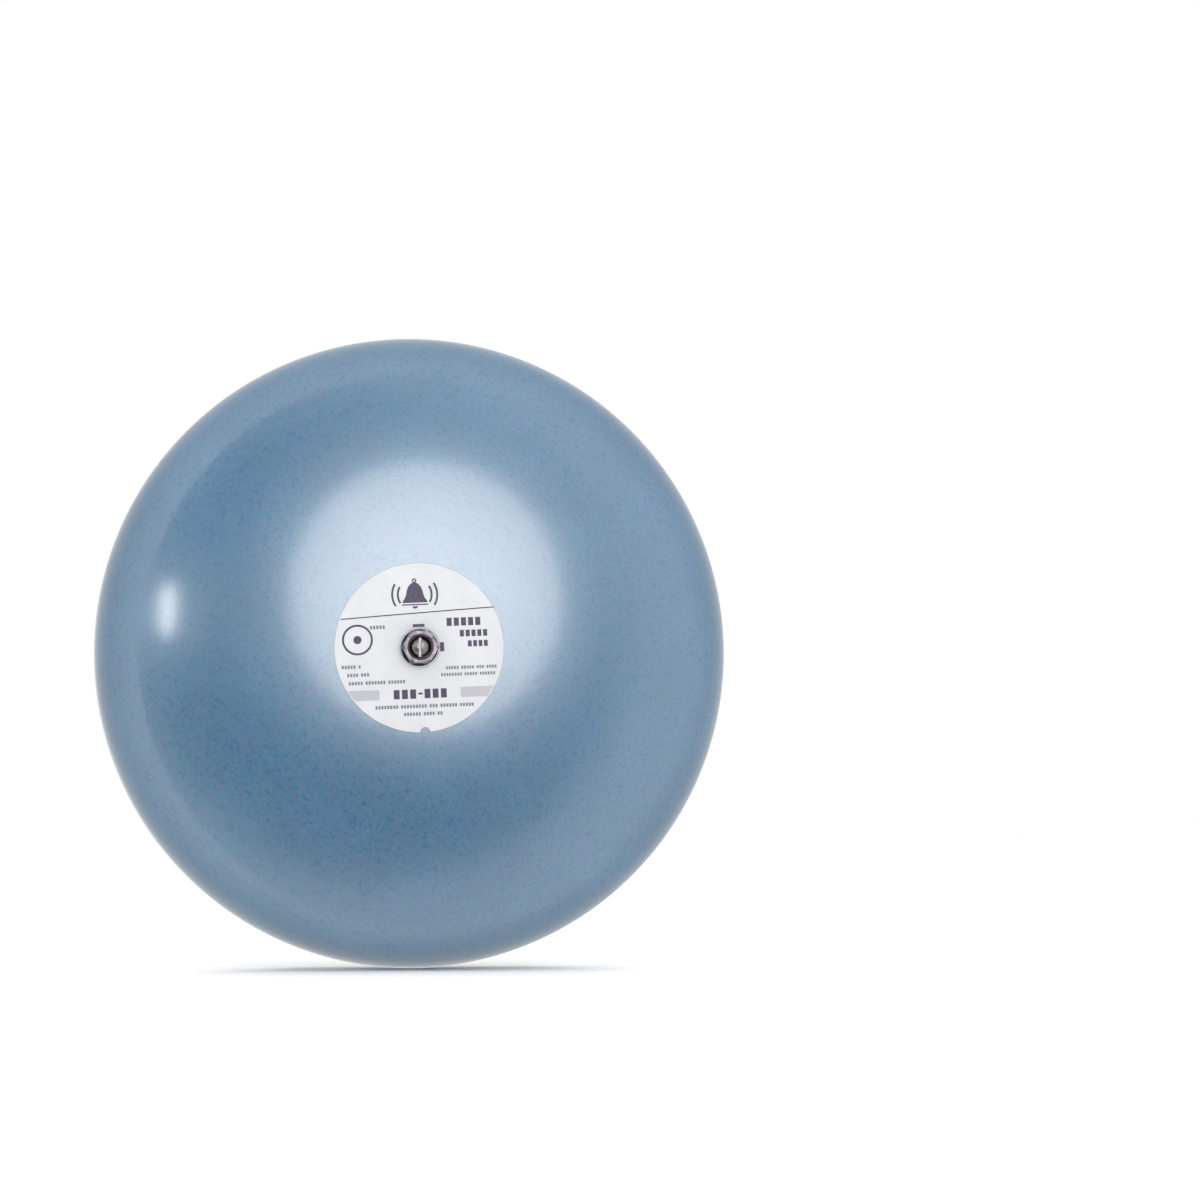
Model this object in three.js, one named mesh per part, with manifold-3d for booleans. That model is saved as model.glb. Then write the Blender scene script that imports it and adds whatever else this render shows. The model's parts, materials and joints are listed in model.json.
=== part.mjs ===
// Motor-driven fire alarm bell: a pressed steel gong on a square plastic base that holds the striker.
// Units are millimetres. +Z is up, +X is right as seen from the front, and the gong faces -Y.
// The origin is the middle of the base on the wall plane, y = 0.
import * as THREE from "three";
import { mergeVertices } from "three/addons/utils/BufferGeometryUtils.js";
import Module from "manifold-3d";

// ---------------------------------------------------------------- driving dimensions
const GAP = 0.3; // clearance left between pieces that touch

// gong
const GONG_RADIUS = 127; // a 10 inch gong
const GONG_Z = 56.5; // gong axis above the middle of the base
const GONG_RIM_Y = -14; // the rim stands clear of the wall
const GONG_DEPTH = 48;
const GONG_SHEET = 2;
const GONG_SHOULDER = 26; // outside radius between dome and skirt
const GONG_SKIRT = 8; // straight length of the skirt
const GONG_DRAFT = THREE.MathUtils.degToRad(4);
const GONG_HOLE = 4.4;
const LABEL_RADIUS = 33;
const LABEL_HOLE = 7.8;
const LABEL_SHEET = 0.35;

// hub, from the seat washer behind the gong to the nut in front of it
const SEAT_WASHER_Y = -58.6; // rear face
const SEAT_WASHER_RADIUS = 9;
const HUB_WASHER_RADIUS = 7.2;
const HUB_WASHER_SHEET = 1.1;
const HUB_NUT_HEIGHT = 5;
const NUT_FLATS = 12.7;
const STUD_THREAD = 3.95; // front thread radius, 5/16 inch
const STUD_SHOULDER = 8;
const STUD_TAIL = 2.4; // rear thread radius
const STUD_TAIL_Y = -44.7;
const STUD_NUT_FLATS = 8.7;
const STUD_NUT_HEIGHT = 3.7;

// square flange of the base, seen from behind as a lip, a groove and a rib
const FLANGE = 118;
const FLANGE_CORNER = 8.5;
const FLANGE_FRONT_Y = -11.3;
const LIP_Y = -5; // rear face of the lip
const LIP_WIDTH = 3.6;
const GROOVE_WIDTH = 2.2;
const GROOVE_DEPTH = 3.6;
const RIB_WIDTH = 3;
const FLOOR_Y = -6; // rear face of the floor inside the rib
const TAB_WIDTH = 11.5; // bridges over the groove in the middle of each side

// round drum in front of the flange, which holds the mechanism
const DRUM_RADIUS = 47;
const DRUM_FRONT_Y = -38;
const DRUM_WALL = 3;

// mounting bosses: slots of a 4 inch square electrical box and small holes near the corners
const SLOT_PITCH = 83.3;
const SLOT_WIDTH = 4.5;
const SLOT_LENGTH = 9;
const CORNER_HOLE_PITCH = 95;
const CORNER_HOLE = 1.5;
const BOSS_WIDTH = 10;
const BOSS_Y = -2;

// rear plate
const PLATE_RADIUS = 49.7;
const PLATE_FLAT = 46; // half height across the two flats
const PLATE_SHEET = 1.2;
const PLATE_REAR_Y = -4.5;
const PLATE_SCREW = new THREE.Vector2(41, 22);
const GROMMET = new THREE.Vector2(35, -1); // x, z of the lead grommet

// flying leads, which hang beside the base in one round turn
const LEAD_RADIUS = 1.2;
const LEAD_PITCH = 3.4; // the two leads leave the grommet one above the other
const TURN = new THREE.Vector2(78.8, -16); // x, z of the middle of the turn
const TURN_RADIUS = 14;
const TURN_STEPS = 12;
const LEAD_SPACING = 3.1; // from lead to lead, front to back, in the turn
const LEAD_TAIL = 7; // straight end below the tie
const STRIPPED_LENGTH = 8;
const STRAND_RADIUS = 0.7;
const TIE_WALL = 1;
const TIE_WIDTH = 3.2;

// support bracket
const BRACKET_WIDTH = 31;
const BRACKET_SHEET = 2;
const BRACKET_PLATE_Y = -50; // rear face of the upright plate
const BRACKET_SEAT_Z = 49; // top of the pad that the bracket stands on
const BRACKET_TOP_Z = 73.5;
const BRACKET_LIP = 3.5; // reach of the lip in front of the upright plate
const BRACKET_FOOT_Y = -14; // rear end of the foot
const BRACKET_BEND = 1.5;
const BRACKET_HOLE = 1.5; // radius of the two spare holes
const BRACKET_SCREW_X = 9;
const BRACKET_SCREW_Y = -24;
const BRACKET_SCREW_LENGTH = 11;

// striker mechanism
const MOTOR_Z = 14; // height of the motor axis, which runs along Y
const MOTOR_RADIUS = 12.5;
const MOTOR_REAR_Y = -9;
const MOTOR_FRONT_Y = -21;
const FRAME_SHEET = 1.5;
const STRIKER_Y = -27.6;
const CAM_REACH = 13;
const CAM_GAP = 0.5; // opened so that the cam and the striker can each move alone
const ROD_RADIUS = 2;
const STRIKE_GAP = 3.6; // free air between the resting tip and the gong
const LUG_Z = -18.5; // top of the frame's guide lug
const MOTOR_SCREW_X = 8;
const MOTOR_TAB_REACH = 13.4; // lower end of the motor's two solder tabs, below its axis
const TIP_HIGH_Z = -51.5; // top of the striker's tip at rest
const POST_RADIUS = 3.6;
const GUIDE_BORE = 4.4;

const gongApexY = GONG_RIM_Y - GONG_DEPTH;
const group = new THREE.Group();

// ---------------------------------------------------------------- materials
const paint = (color, roughness, metalness = 0) =>
  new THREE.MeshStandardMaterial({ color, roughness, metalness });
const enamel = paint(0x7d99b2, 0.35);
const labelFoil = paint(0xf1f2f4, 0.5);
const darkZinc = paint(0x6f6c6a, 0.35, 1);
const zinc = paint(0x9b9da1, 0.35, 1);
const fibre = paint(0x6b3a26, 0.8);
const chromate = paint(0x857a38, 0.35, 1);
const greyPlastic = paint(0x56657a, 0.55);
const galvanised = paint(0x93a2b0, 0.45, 1);
const brass = paint(0xb79a45, 0.35, 1);
const rubber = paint(0x141414, 0.45);
const leadSleeve = paint(0x101012, 0.3);
const copper = paint(0xb87545, 0.35, 1);
const steel = paint(0x8d9094, 0.3, 1);
const nylon = paint(0xe6e2d6, 0.5);
const springSteel = paint(0xa7a9ac, 0.25, 1);
const board = paint(0x9c7a3e, 0.6);
const ceramic = paint(0xc06a2c, 0.5);
const sleeveRed = paint(0x9e2a22, 0.4);

// ---------------------------------------------------------------- solids
const wasm = await Module();
wasm.setup();

// A closed geometry as a solid, whichever way its profile was drawn.
function solid(geometry) {
  const bare = geometry.index ? geometry.toNonIndexed() : geometry.clone();
  bare.deleteAttribute("normal");
  bare.deleteAttribute("uv");
  const merged = mergeVertices(bare, 1e-4);
  const triVerts = new Uint32Array(merged.index.array);
  const vertProperties = merged.attributes.position.array;
  const made = new wasm.Manifold(new wasm.Mesh({ numProp: 3, vertProperties, triVerts }));
  if (made.volume() > 0) return made;
  triVerts.reverse();
  return new wasm.Manifold(new wasm.Mesh({ numProp: 3, vertProperties, triVerts }));
}

const join = (...solids) => solids.reduce((all, one) => all.add(one));
const cut = (body, ...tools) => tools.reduce((left, tool) => left.subtract(tool), body);

function addPart(name, shape, material) {
  const { vertProperties, triVerts } = shape.getMesh();
  const geometry = new THREE.BufferGeometry();
  geometry.setAttribute("position", new THREE.BufferAttribute(new Float32Array(vertProperties), 3));
  geometry.setIndex(new THREE.BufferAttribute(new Uint32Array(triVerts), 1));
  geometry.computeVertexNormals();
  const mesh = new THREE.Mesh(geometry, material);
  mesh.name = name;
  group.add(mesh);
}

// A box from its two opposite corners.
function box(low, high) {
  const size = high.map((value, i) => value - low[i]);
  const middle = high.map((value, i) => (value + low[i]) / 2);
  return solid(new THREE.BoxGeometry(...size).translate(...middle));
}

// An outline in X and Z, extruded forwards from rearY to frontY.
function slab(shape, rearY, frontY, curveSegments = 4) {
  const depth = rearY - frontY;
  const extruded = new THREE.ExtrudeGeometry(shape, { depth, bevelEnabled: false, curveSegments });
  return solid(extruded.rotateX(Math.PI / 2).translate(0, rearY, 0));
}

// A profile of [radius, y] points turned about the line parallel to Y through x, z.
function turnedY(profile, x, z, segments = 24) {
  const points = profile.map(([radius, y]) => new THREE.Vector2(radius, y));
  return solid(new THREE.LatheGeometry(points, segments).translate(x, 0, z));
}

// A profile of [radius, z] points turned about the line parallel to Z through x, y.
function turnedZ(profile, x, y, segments = 24) {
  const points = profile.map(([radius, z]) => new THREE.Vector2(radius, z));
  return solid(new THREE.LatheGeometry(points, segments).rotateX(Math.PI / 2).translate(x, y, 0));
}

const rodY = (radius, x, z, rearY, frontY, segments = 24) =>
  turnedY([[0, frontY], [radius, frontY], [radius, rearY], [0, rearY]], x, z, segments);
const rodZ = (radius, x, y, lowZ, highZ, segments = 24) =>
  turnedZ([[0, lowZ], [radius, lowZ], [radius, highZ], [0, highZ]], x, y, segments);

function roundedSquare(size, corner) {
  const half = size / 2;
  const inner = half - corner;
  const shape = new THREE.Shape();
  shape.absarc(inner, inner, corner, 0, Math.PI / 2);
  shape.absarc(-inner, inner, corner, Math.PI / 2, Math.PI);
  shape.absarc(-inner, -inner, corner, Math.PI, 1.5 * Math.PI);
  shape.absarc(inner, -inner, corner, 1.5 * Math.PI, 2 * Math.PI);
  return shape;
}

// A slot outline with round ends between two points.
function stadium(x0, z0, x1, z1, width) {
  const angle = Math.atan2(z1 - z0, x1 - x0);
  const shape = new THREE.Shape();
  shape.absarc(x1, z1, width / 2, angle - Math.PI / 2, angle + Math.PI / 2);
  shape.absarc(x0, z0, width / 2, angle + Math.PI / 2, angle + 1.5 * Math.PI);
  return shape;
}

function hexagon(flats, x, z) {
  const shape = new THREE.Shape();
  shape.absarc(x, z, flats / Math.sqrt(3), Math.PI / 6, Math.PI / 6 + 2 * Math.PI);
  return shape;
}

// A round tube of the given radius along a curve.
function tube(curve, radius, steps, sides = 8) {
  const section = new THREE.Shape();
  section.absarc(0, 0, radius, 0, 2 * Math.PI);
  const options = { steps, extrudePath: curve, curveSegments: sides / 2, bevelEnabled: false };
  return solid(new THREE.ExtrudeGeometry(section, options));
}

const route = (points) =>
  new THREE.CatmullRomCurve3(points.map((point) => new THREE.Vector3(...point)), false, "centripetal");

// ---------------------------------------------------------------- gong
// The dome is a sphere, the shoulder an arc tangent to it, and the skirt a short cone.
const skirtEnd = new THREE.Vector2(
  GONG_RADIUS - GONG_SKIRT * Math.sin(GONG_DRAFT),
  GONG_RIM_Y - GONG_SKIRT * Math.cos(GONG_DRAFT),
);
const shoulderCentre = new THREE.Vector2(
  skirtEnd.x - GONG_SHOULDER * Math.cos(GONG_DRAFT),
  skirtEnd.y + GONG_SHOULDER * Math.sin(GONG_DRAFT),
);
const shoulderDepth = shoulderCentre.y - gongApexY;
const domeRadius =
  (shoulderCentre.x ** 2 + shoulderDepth ** 2 - GONG_SHOULDER ** 2) /
  (2 * (shoulderDepth - GONG_SHOULDER));
const domeCentreY = gongApexY + domeRadius;
const domeAngle = Math.asin(shoulderCentre.x / (domeRadius - GONG_SHOULDER));

// Points of the gong's outside, moved inwards by inset, from radius startRadius to the rim.
function gongOutline(inset, startRadius) {
  const points = [];
  const sphere = domeRadius - inset;
  const startAngle = Math.asin(startRadius / sphere);
  const domeSteps = 5;
  for (let i = 0; i < domeSteps; i++) {
    const angle = startAngle + ((domeAngle - startAngle) * i) / domeSteps;
    points.push([sphere * Math.sin(angle), domeCentreY - sphere * Math.cos(angle)]);
  }
  const arc = GONG_SHOULDER - inset;
  const shoulderSteps = 8;
  for (let i = 0; i <= shoulderSteps; i++) {
    const angle = domeAngle + ((Math.PI / 2 - GONG_DRAFT - domeAngle) * i) / shoulderSteps;
    const r = shoulderCentre.x + arc * Math.sin(angle);
    points.push([r, shoulderCentre.y - arc * Math.cos(angle)]);
  }
  const rimRadius = GONG_RADIUS - inset / Math.cos(GONG_DRAFT);
  points.push([rimRadius, GONG_RIM_Y]);
  return points;
}

function makeGong() {
  const outside = gongOutline(0, GONG_HOLE);
  const inside = gongOutline(GONG_SHEET, GONG_HOLE);
  const profile = [...outside, ...inside.reverse(), outside[0]];
  addPart("gong", turnedY(profile, 0, GONG_Z, 72), enamel);
}

function makeLabel() {
  const shell = (lift) => {
    const sphere = domeRadius + lift;
    const ends = [Math.asin(LABEL_HOLE / sphere), Math.asin(LABEL_RADIUS / sphere)];
    const steps = 2;
    return Array.from({ length: steps + 1 }, (_, i) => {
      const angle = ends[0] + ((ends[1] - ends[0]) * i) / steps;
      return [sphere * Math.sin(angle), domeCentreY - sphere * Math.cos(angle)];
    });
  };
  const rear = shell(GAP);
  const front = shell(GAP + LABEL_SHEET);
  const profile = [...front, ...rear.reverse(), front[0]];
  addPart("gong_label", turnedY(profile, 0, GONG_Z, 48), labelFoil);
}

// ---------------------------------------------------------------- hub: stud, washers and nuts
const bracketFrontY = BRACKET_PLATE_Y - BRACKET_SHEET;
const hubWasherY = gongApexY - 0.35;
const hubWasherFrontY = hubWasherY - HUB_WASHER_SHEET;
const nutRearY = hubWasherFrontY - GAP;
const nutFrontY = nutRearY - HUB_NUT_HEIGHT;
const studFrontY = nutFrontY + 1;

function washer(inner, outer, rearY, frontY) {
  const profile = [[inner, frontY], [outer, frontY], [outer, rearY], [inner, rearY], [inner, frontY]];
  return turnedY(profile, 0, GONG_Z, 32);
}

// A hexagon nut with a chamfered mouth and chamfered corners on its front face.
function nut(flats, thread, rearY, frontY, chamfer) {
  const inner = thread + GAP;
  const outer = flats / 2 + 1.2;
  const body = slab(hexagon(flats, 0, GONG_Z), rearY, frontY, 3);
  const bore = rodY(inner, 0, GONG_Z, rearY + 1, frontY - 1);
  const mouth = turnedY(
    [[0, frontY - 1], [inner + chamfer + 1, frontY - 1], [inner, frontY + chamfer], [0, frontY + chamfer]],
    0,
    GONG_Z,
  );
  const corners = turnedY(
    [[0, frontY], [flats / 2, frontY], [outer, frontY + 0.7], [outer, rearY], [0, rearY]],
    0,
    GONG_Z,
    32,
  );
  return cut(body, bore, mouth).intersect(corners);
}

function makeHub() {
  const shoulderFrontY = SEAT_WASHER_Y + GAP;
  const slot = box([-0.7, studFrontY - 1, GONG_Z - 6], [0.7, studFrontY + 1.6, GONG_Z + 6]);
  const stud = turnedY(
    [
      [0, studFrontY],
      [STUD_THREAD - 0.6, studFrontY],
      [STUD_THREAD, studFrontY + 0.6],
      [STUD_THREAD, shoulderFrontY],
      [STUD_SHOULDER, shoulderFrontY],
      [STUD_SHOULDER, bracketFrontY - GAP],
      [STUD_TAIL, bracketFrontY - GAP],
      [STUD_TAIL, STUD_TAIL_Y],
      [0, STUD_TAIL_Y],
    ],
    0,
    GONG_Z,
  );
  addPart("gong_stud", cut(stud, slot), zinc);
  const tailNutY = BRACKET_PLATE_Y + GAP;
  addPart("stud_nut", nut(STUD_NUT_FLATS, STUD_TAIL, tailNutY + STUD_NUT_HEIGHT, tailNutY, 0.3), zinc);
  const bore = STUD_THREAD + GAP;
  const seatFrontY = gongApexY + GONG_SHEET + GAP;
  addPart("seat_washer", washer(bore, SEAT_WASHER_RADIUS, SEAT_WASHER_Y, seatFrontY), fibre);
  addPart("hub_washer", washer(bore, HUB_WASHER_RADIUS, hubWasherY, hubWasherFrontY), darkZinc);
  addPart("hub_nut", nut(NUT_FLATS, STUD_THREAD, nutRearY, nutFrontY, 1), darkZinc);
}

// ---------------------------------------------------------------- support bracket
// Side view of the bracket: a foot on the drum, an upright plate and a short lip at the top.
function makeBracket() {
  const outer = BRACKET_BEND + BRACKET_SHEET;
  const footZ = BRACKET_SEAT_Z + GAP;
  const frontY = bracketFrontY;
  const side = new THREE.Shape();
  side.moveTo(BRACKET_FOOT_Y, footZ);
  side.lineTo(frontY + outer, footZ);
  side.absarc(frontY + outer, footZ + outer, outer, -Math.PI / 2, -Math.PI, true);
  side.lineTo(frontY, BRACKET_TOP_Z - outer);
  side.absarc(frontY - BRACKET_BEND, BRACKET_TOP_Z - outer, BRACKET_BEND, 0, Math.PI / 2);
  side.lineTo(frontY - BRACKET_LIP, BRACKET_TOP_Z - BRACKET_SHEET);
  side.lineTo(frontY - BRACKET_LIP, BRACKET_TOP_Z);
  side.lineTo(frontY - BRACKET_BEND, BRACKET_TOP_Z);
  side.absarc(frontY - BRACKET_BEND, BRACKET_TOP_Z - outer, outer, Math.PI / 2, 0, true);
  side.lineTo(BRACKET_PLATE_Y, footZ + outer);
  side.absarc(frontY + outer, footZ + outer, BRACKET_BEND, Math.PI, 1.5 * Math.PI);
  side.lineTo(BRACKET_FOOT_Y, footZ + BRACKET_SHEET);
  side.closePath();
  const options = { depth: BRACKET_WIDTH, bevelEnabled: false, curveSegments: 5 };
  const geometry = new THREE.ExtrudeGeometry(side, options);
  // The outline's own x and y are the bracket's Y and Z, and its depth runs along X.
  const axes = new THREE.Matrix4().makeBasis(
    new THREE.Vector3(0, 1, 0),
    new THREE.Vector3(0, 0, 1),
    new THREE.Vector3(1, 0, 0),
  );
  const plate = solid(geometry.applyMatrix4(axes).translate(-BRACKET_WIDTH / 2, 0, 0));
  const through = (radius, x, z) => rodY(radius, x, z, BRACKET_PLATE_Y + 1, frontY - 1, 16);
  const footHole = (x) => rodZ(2.4, x, BRACKET_SCREW_Y, footZ - 1, footZ + BRACKET_SHEET + 1, 16);
  const holes = [
    through(STUD_TAIL + GAP, 0, GONG_Z),
    through(BRACKET_HOLE, 0, GONG_Z + 10.4),
    through(BRACKET_HOLE, 9.8, GONG_Z + 0.6),
    footHole(BRACKET_SCREW_X),
    footHole(-BRACKET_SCREW_X),
  ];
  addPart("support_bracket", cut(plate, ...holes), chromate);
  for (const [name, x] of [["right", BRACKET_SCREW_X], ["left", -BRACKET_SCREW_X]]) {
    const headZ = footZ + BRACKET_SHEET + GAP;
    const profile = [
      [0, headZ - BRACKET_SCREW_LENGTH],
      [1.9, headZ - BRACKET_SCREW_LENGTH],
      [1.9, headZ],
      [3.9, headZ],
      [3.9, headZ + 1.4],
      [2.6, headZ + 2.4],
      [0, headZ + 2.4],
    ];
    addPart(`bracket_screw_${name}`, turnedZ(profile, x, BRACKET_SCREW_Y, 20), zinc);
  }
}

// ---------------------------------------------------------------- base housing
const grooveOuter = FLANGE - 2 * LIP_WIDTH;
const ribOuter = grooveOuter - 2 * GROOVE_WIDTH;
const ribInner = ribOuter - 2 * RIB_WIDTH;
const diagonals = [[1, 1], [-1, 1], [-1, -1], [1, -1]];
const framePosts = [[27, 24], [-27, 24], [27, -4], [-27, -4]];

function boss(sx, sz) {
  const start = SLOT_PITCH / 2 - 2.4;
  const end = ribInner / 2 - 2;
  return slab(stadium(sx * start, sz * start, sx * end, sz * end, BOSS_WIDTH), BOSS_Y, FLOOR_Y - 1);
}

function mountingSlot(sx, sz) {
  const middle = SLOT_PITCH / 2;
  const half = (SLOT_LENGTH - SLOT_WIDTH) / 2 / Math.SQRT2;
  const low = middle - half;
  const high = middle + half;
  const outline = stadium(sx * low, sz * low, sx * high, sz * high, SLOT_WIDTH);
  return slab(outline, 1, FLANGE_FRONT_Y - 1);
}

function makeHousing() {
  const flange = slab(roundedSquare(FLANGE, FLANGE_CORNER), LIP_Y, FLANGE_FRONT_Y);
  const rib = slab(roundedSquare(ribOuter, 5), 0, FLOOR_Y - 1);
  const well = slab(roundedSquare(ribInner, 3), 1, FLOOR_Y);
  const grooveHole = roundedSquare(ribOuter, 5);
  const grooveShape = roundedSquare(grooveOuter, 5.5);
  grooveShape.holes.push(grooveHole);
  const groove = slab(grooveShape, LIP_Y + 1, LIP_Y - GROOVE_DEPTH);
  const drum = rodY(DRUM_RADIUS, 0, 0, FLANGE_FRONT_Y + 1, DRUM_FRONT_Y, 48);
  const cavity = rodY(DRUM_RADIUS - DRUM_WALL, 0, 0, FLOOR_Y + 1, DRUM_FRONT_Y + DRUM_WALL, 48);
  const padHalf = BRACKET_WIDTH / 2 + 1.5;
  const pad = box([-padHalf, DRUM_FRONT_Y, 40], [padHalf, FLANGE_FRONT_Y + 1, BRACKET_SEAT_Z]);
  const postY = MOTOR_FRONT_Y - GAP - FRAME_SHEET - GAP;
  const posts = framePosts.map(([x, z]) => rodY(POST_RADIUS, x, z, postY, DRUM_FRONT_Y + 1, 16));
  const boardPad = box([15, DRUM_FRONT_Y + 1, -25], [28, -30.1, -17]);

  // a tab over the groove and a window through the rib in the middle of each side
  const tabs = [];
  const windows = [];
  const tabStart = ribOuter / 2 - 1;
  const tabEnd = FLANGE / 2 + 0.7;
  for (const turn of [0, 1, 2, 3]) {
    const tab = new THREE.BoxGeometry(TAB_WIDTH, 2.5, tabEnd - tabStart);
    tab.translate(0, LIP_Y + 0.75, (tabEnd + tabStart) / 2);
    tabs.push(solid(tab.rotateY((turn * Math.PI) / 2)));
    const window = new THREE.BoxGeometry(TAB_WIDTH - 2, 5, 1.5);
    window.translate(0, -1, ribInner / 2 + 1.1);
    windows.push(solid(window.rotateY((turn * Math.PI) / 2)));
  }
  // ledges inside the rib, above and below the rear plate, and a short rib above each lower boss
  const ledges = [];
  for (const sx of [1, -1]) {
    for (const sz of [1, -1]) {
      const low = [sx > 0 ? 5.2 : -19.2, FLOOR_Y - 1, sz > 0 ? ribInner / 2 - 2 : -ribInner / 2 - 1];
      const high = [low[0] + 14, -1.6, low[2] + 3];
      ledges.push(box(low, high));
    }
    const ribX = sx * (SLOT_PITCH / 2 - 4);
    ledges.push(box([ribX - 0.5, FLOOR_Y - 1, -38], [ribX + 0.5, BOSS_Y, -33.8]));
  }

  const corner = CORNER_HOLE_PITCH / 2;
  const cornerHoles = diagonals.map(([sx, sz]) =>
    rodY(CORNER_HOLE, sx * corner, sz * corner, 1, FLANGE_FRONT_Y - 1, 16));
  const plateScrews = [1, -1].map((side) =>
    rodY(1.8, side * PLATE_SCREW.x, side * PLATE_SCREW.y, FLOOR_Y + 1, FLANGE_FRONT_Y + 0.5, 16));
  const padScrews = [1, -1].map((side) =>
    rodZ(2.2, side * BRACKET_SCREW_X, BRACKET_SCREW_Y, DRUM_RADIUS - DRUM_WALL - 8, BRACKET_SEAT_Z + 1, 16));
  const postHoles = framePosts.map(([x, z]) => rodY(1.4, x, z, -20, DRUM_FRONT_Y + DRUM_WALL + 2, 12));
  const guideBore = rodZ(GUIDE_BORE, 0, STRIKER_Y, -60, -30);

  const bosses = diagonals.map(([sx, sz]) => boss(sx, sz));
  const slots = diagonals.map(([sx, sz]) => mountingSlot(sx, sz));
  const shell = join(cut(join(flange, rib), well, groove), drum, pad, ...bosses);
  const filled = join(cut(shell, cavity), ...posts, boardPad, ...tabs, ...ledges);
  const screwHoles = [...cornerHoles, ...plateScrews, ...padScrews, ...postHoles];
  addPart("base_housing", cut(filled, ...slots, ...screwHoles, ...windows, guideBore), greyPlastic);
}

function makeGasket() {
  const outline = roundedSquare(grooveOuter - 2 * GAP, 5);
  outline.holes.push(roundedSquare(ribOuter + 2 * GAP, 4.6));
  const floor = LIP_Y - GROOVE_DEPTH + GAP;
  addPart("housing_gasket", slab(outline, LIP_Y - 0.8, floor), rubber);
}

// ---------------------------------------------------------------- rear plate, screws and grommet
function makeRearPlate() {
  const frontY = PLATE_REAR_Y - PLATE_SHEET;
  const disc = rodY(PLATE_RADIUS, 0, 0, PLATE_REAR_Y, frontY, 64);
  const flats = box([-60, frontY - 1, -PLATE_FLAT], [60, PLATE_REAR_Y + 1, PLATE_FLAT]);
  const screwHoles = [1, -1].map((side) =>
    rodY(1.9, side * PLATE_SCREW.x, side * PLATE_SCREW.y, PLATE_REAR_Y + 1, frontY - 1, 16));
  const grommetHole = rodY(5.2, GROMMET.x, GROMMET.y, PLATE_REAR_Y + 1, frontY - 1);
  addPart("rear_plate", cut(disc.intersect(flats), ...screwHoles, grommetHole), galvanised);

  for (const [name, side] of [["upper", 1], ["lower", -1]]) {
    const seat = PLATE_REAR_Y + GAP;
    const x = side * PLATE_SCREW.x;
    const z = side * PLATE_SCREW.y;
    const endY = FLANGE_FRONT_Y + 0.9;
    const shank = [[0, endY], [1.45, endY], [1.45, seat]];
    const head = [[2.5, seat], [2.4, seat + 0.9], [1.6, seat + 1.5], [0, seat + 1.7]];
    const slot = box([x - 3, seat + 1, z - 0.35], [x + 3, seat + 3, z + 0.35]);
    addPart(`plate_screw_${name}`, cut(turnedY([...shank, ...head], x, z, 20), slot), brass);
  }

  const grommet = turnedY(
    [
      [0, frontY - GAP - 2.2],
      [6.1, frontY - GAP - 2.2],
      [6.3, frontY - GAP],
      [4.9, frontY - GAP],
      [4.9, PLATE_REAR_Y + GAP],
      [6.8, PLATE_REAR_Y + GAP],
      [6.8, PLATE_REAR_Y + GAP + 1],
      [6, PLATE_REAR_Y + GAP + 2],
      [4.6, PLATE_REAR_Y + GAP + 2.5],
      [0, PLATE_REAR_Y + GAP + 2.5],
    ],
    GROMMET.x,
    GROMMET.y,
    32,
  );
  const leadHoles = [1, -1].map((side) =>
    rodY(LEAD_RADIUS + GAP, GROMMET.x, GROMMET.y + (side * LEAD_PITCH) / 2, 2, -12, 12));
  addPart("lead_grommet", cut(grommet, ...leadHoles), rubber);
}

// ---------------------------------------------------------------- flying leads
// From the grommet, across the rib and the lip, to the side of the base.
const leadStarts = {
  upper: [
    [35, -5, 0.7], [35, -1.8, 0.7], [35.3, 0.8, 0.6], [36.4, 3.2, 0.4], [38.5, 4.9, 0.1],
    [41.3, 5.6, -0.2], [45, 5.4, -0.7], [49.2, 4.5, -1.6], [53, 3.5, -2.8], [56.4, 2.4, -4.3],
    [59.4, 1.2, -6.2], [62, 0, -8.6], [63.9, -1.1, -12],
  ],
  lower: [
    [35, -5, -2.7], [35, -1.8, -2.7], [35.3, 0.8, -2.8], [36.4, 3.2, -3], [38.6, 4.9, -3.4],
    [41.4, 5.5, -3.9], [45.1, 5, -4.8], [49.2, 3.8, -6], [53, 2.2, -7.2], [56.6, 0.4, -8.5],
    [59.9, -1.7, -10], [62.4, -3.4, -11.7],
  ],
};
const turnRearY = { upper: -1.8, lower: -1.8 - LEAD_SPACING };

// One turn, begun and ended on its left side, and a straight tail that hangs below the tie.
function leadRoute(name) {
  const turn = Array.from({ length: TURN_STEPS + 1 }, (_, i) => {
    const part = i / TURN_STEPS;
    const angle = Math.PI + 2 * Math.PI * part;
    const y = turnRearY[name] - 2 * LEAD_SPACING * part;
    return [TURN.x + TURN_RADIUS * Math.cos(angle), y, TURN.y + TURN_RADIUS * Math.sin(angle)];
  });
  const [x, y, z] = turn.at(-1);
  return [...leadStarts[name], ...turn, [x, y, z - LEAD_TAIL / 2], [x, y, z - LEAD_TAIL]];
}

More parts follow.
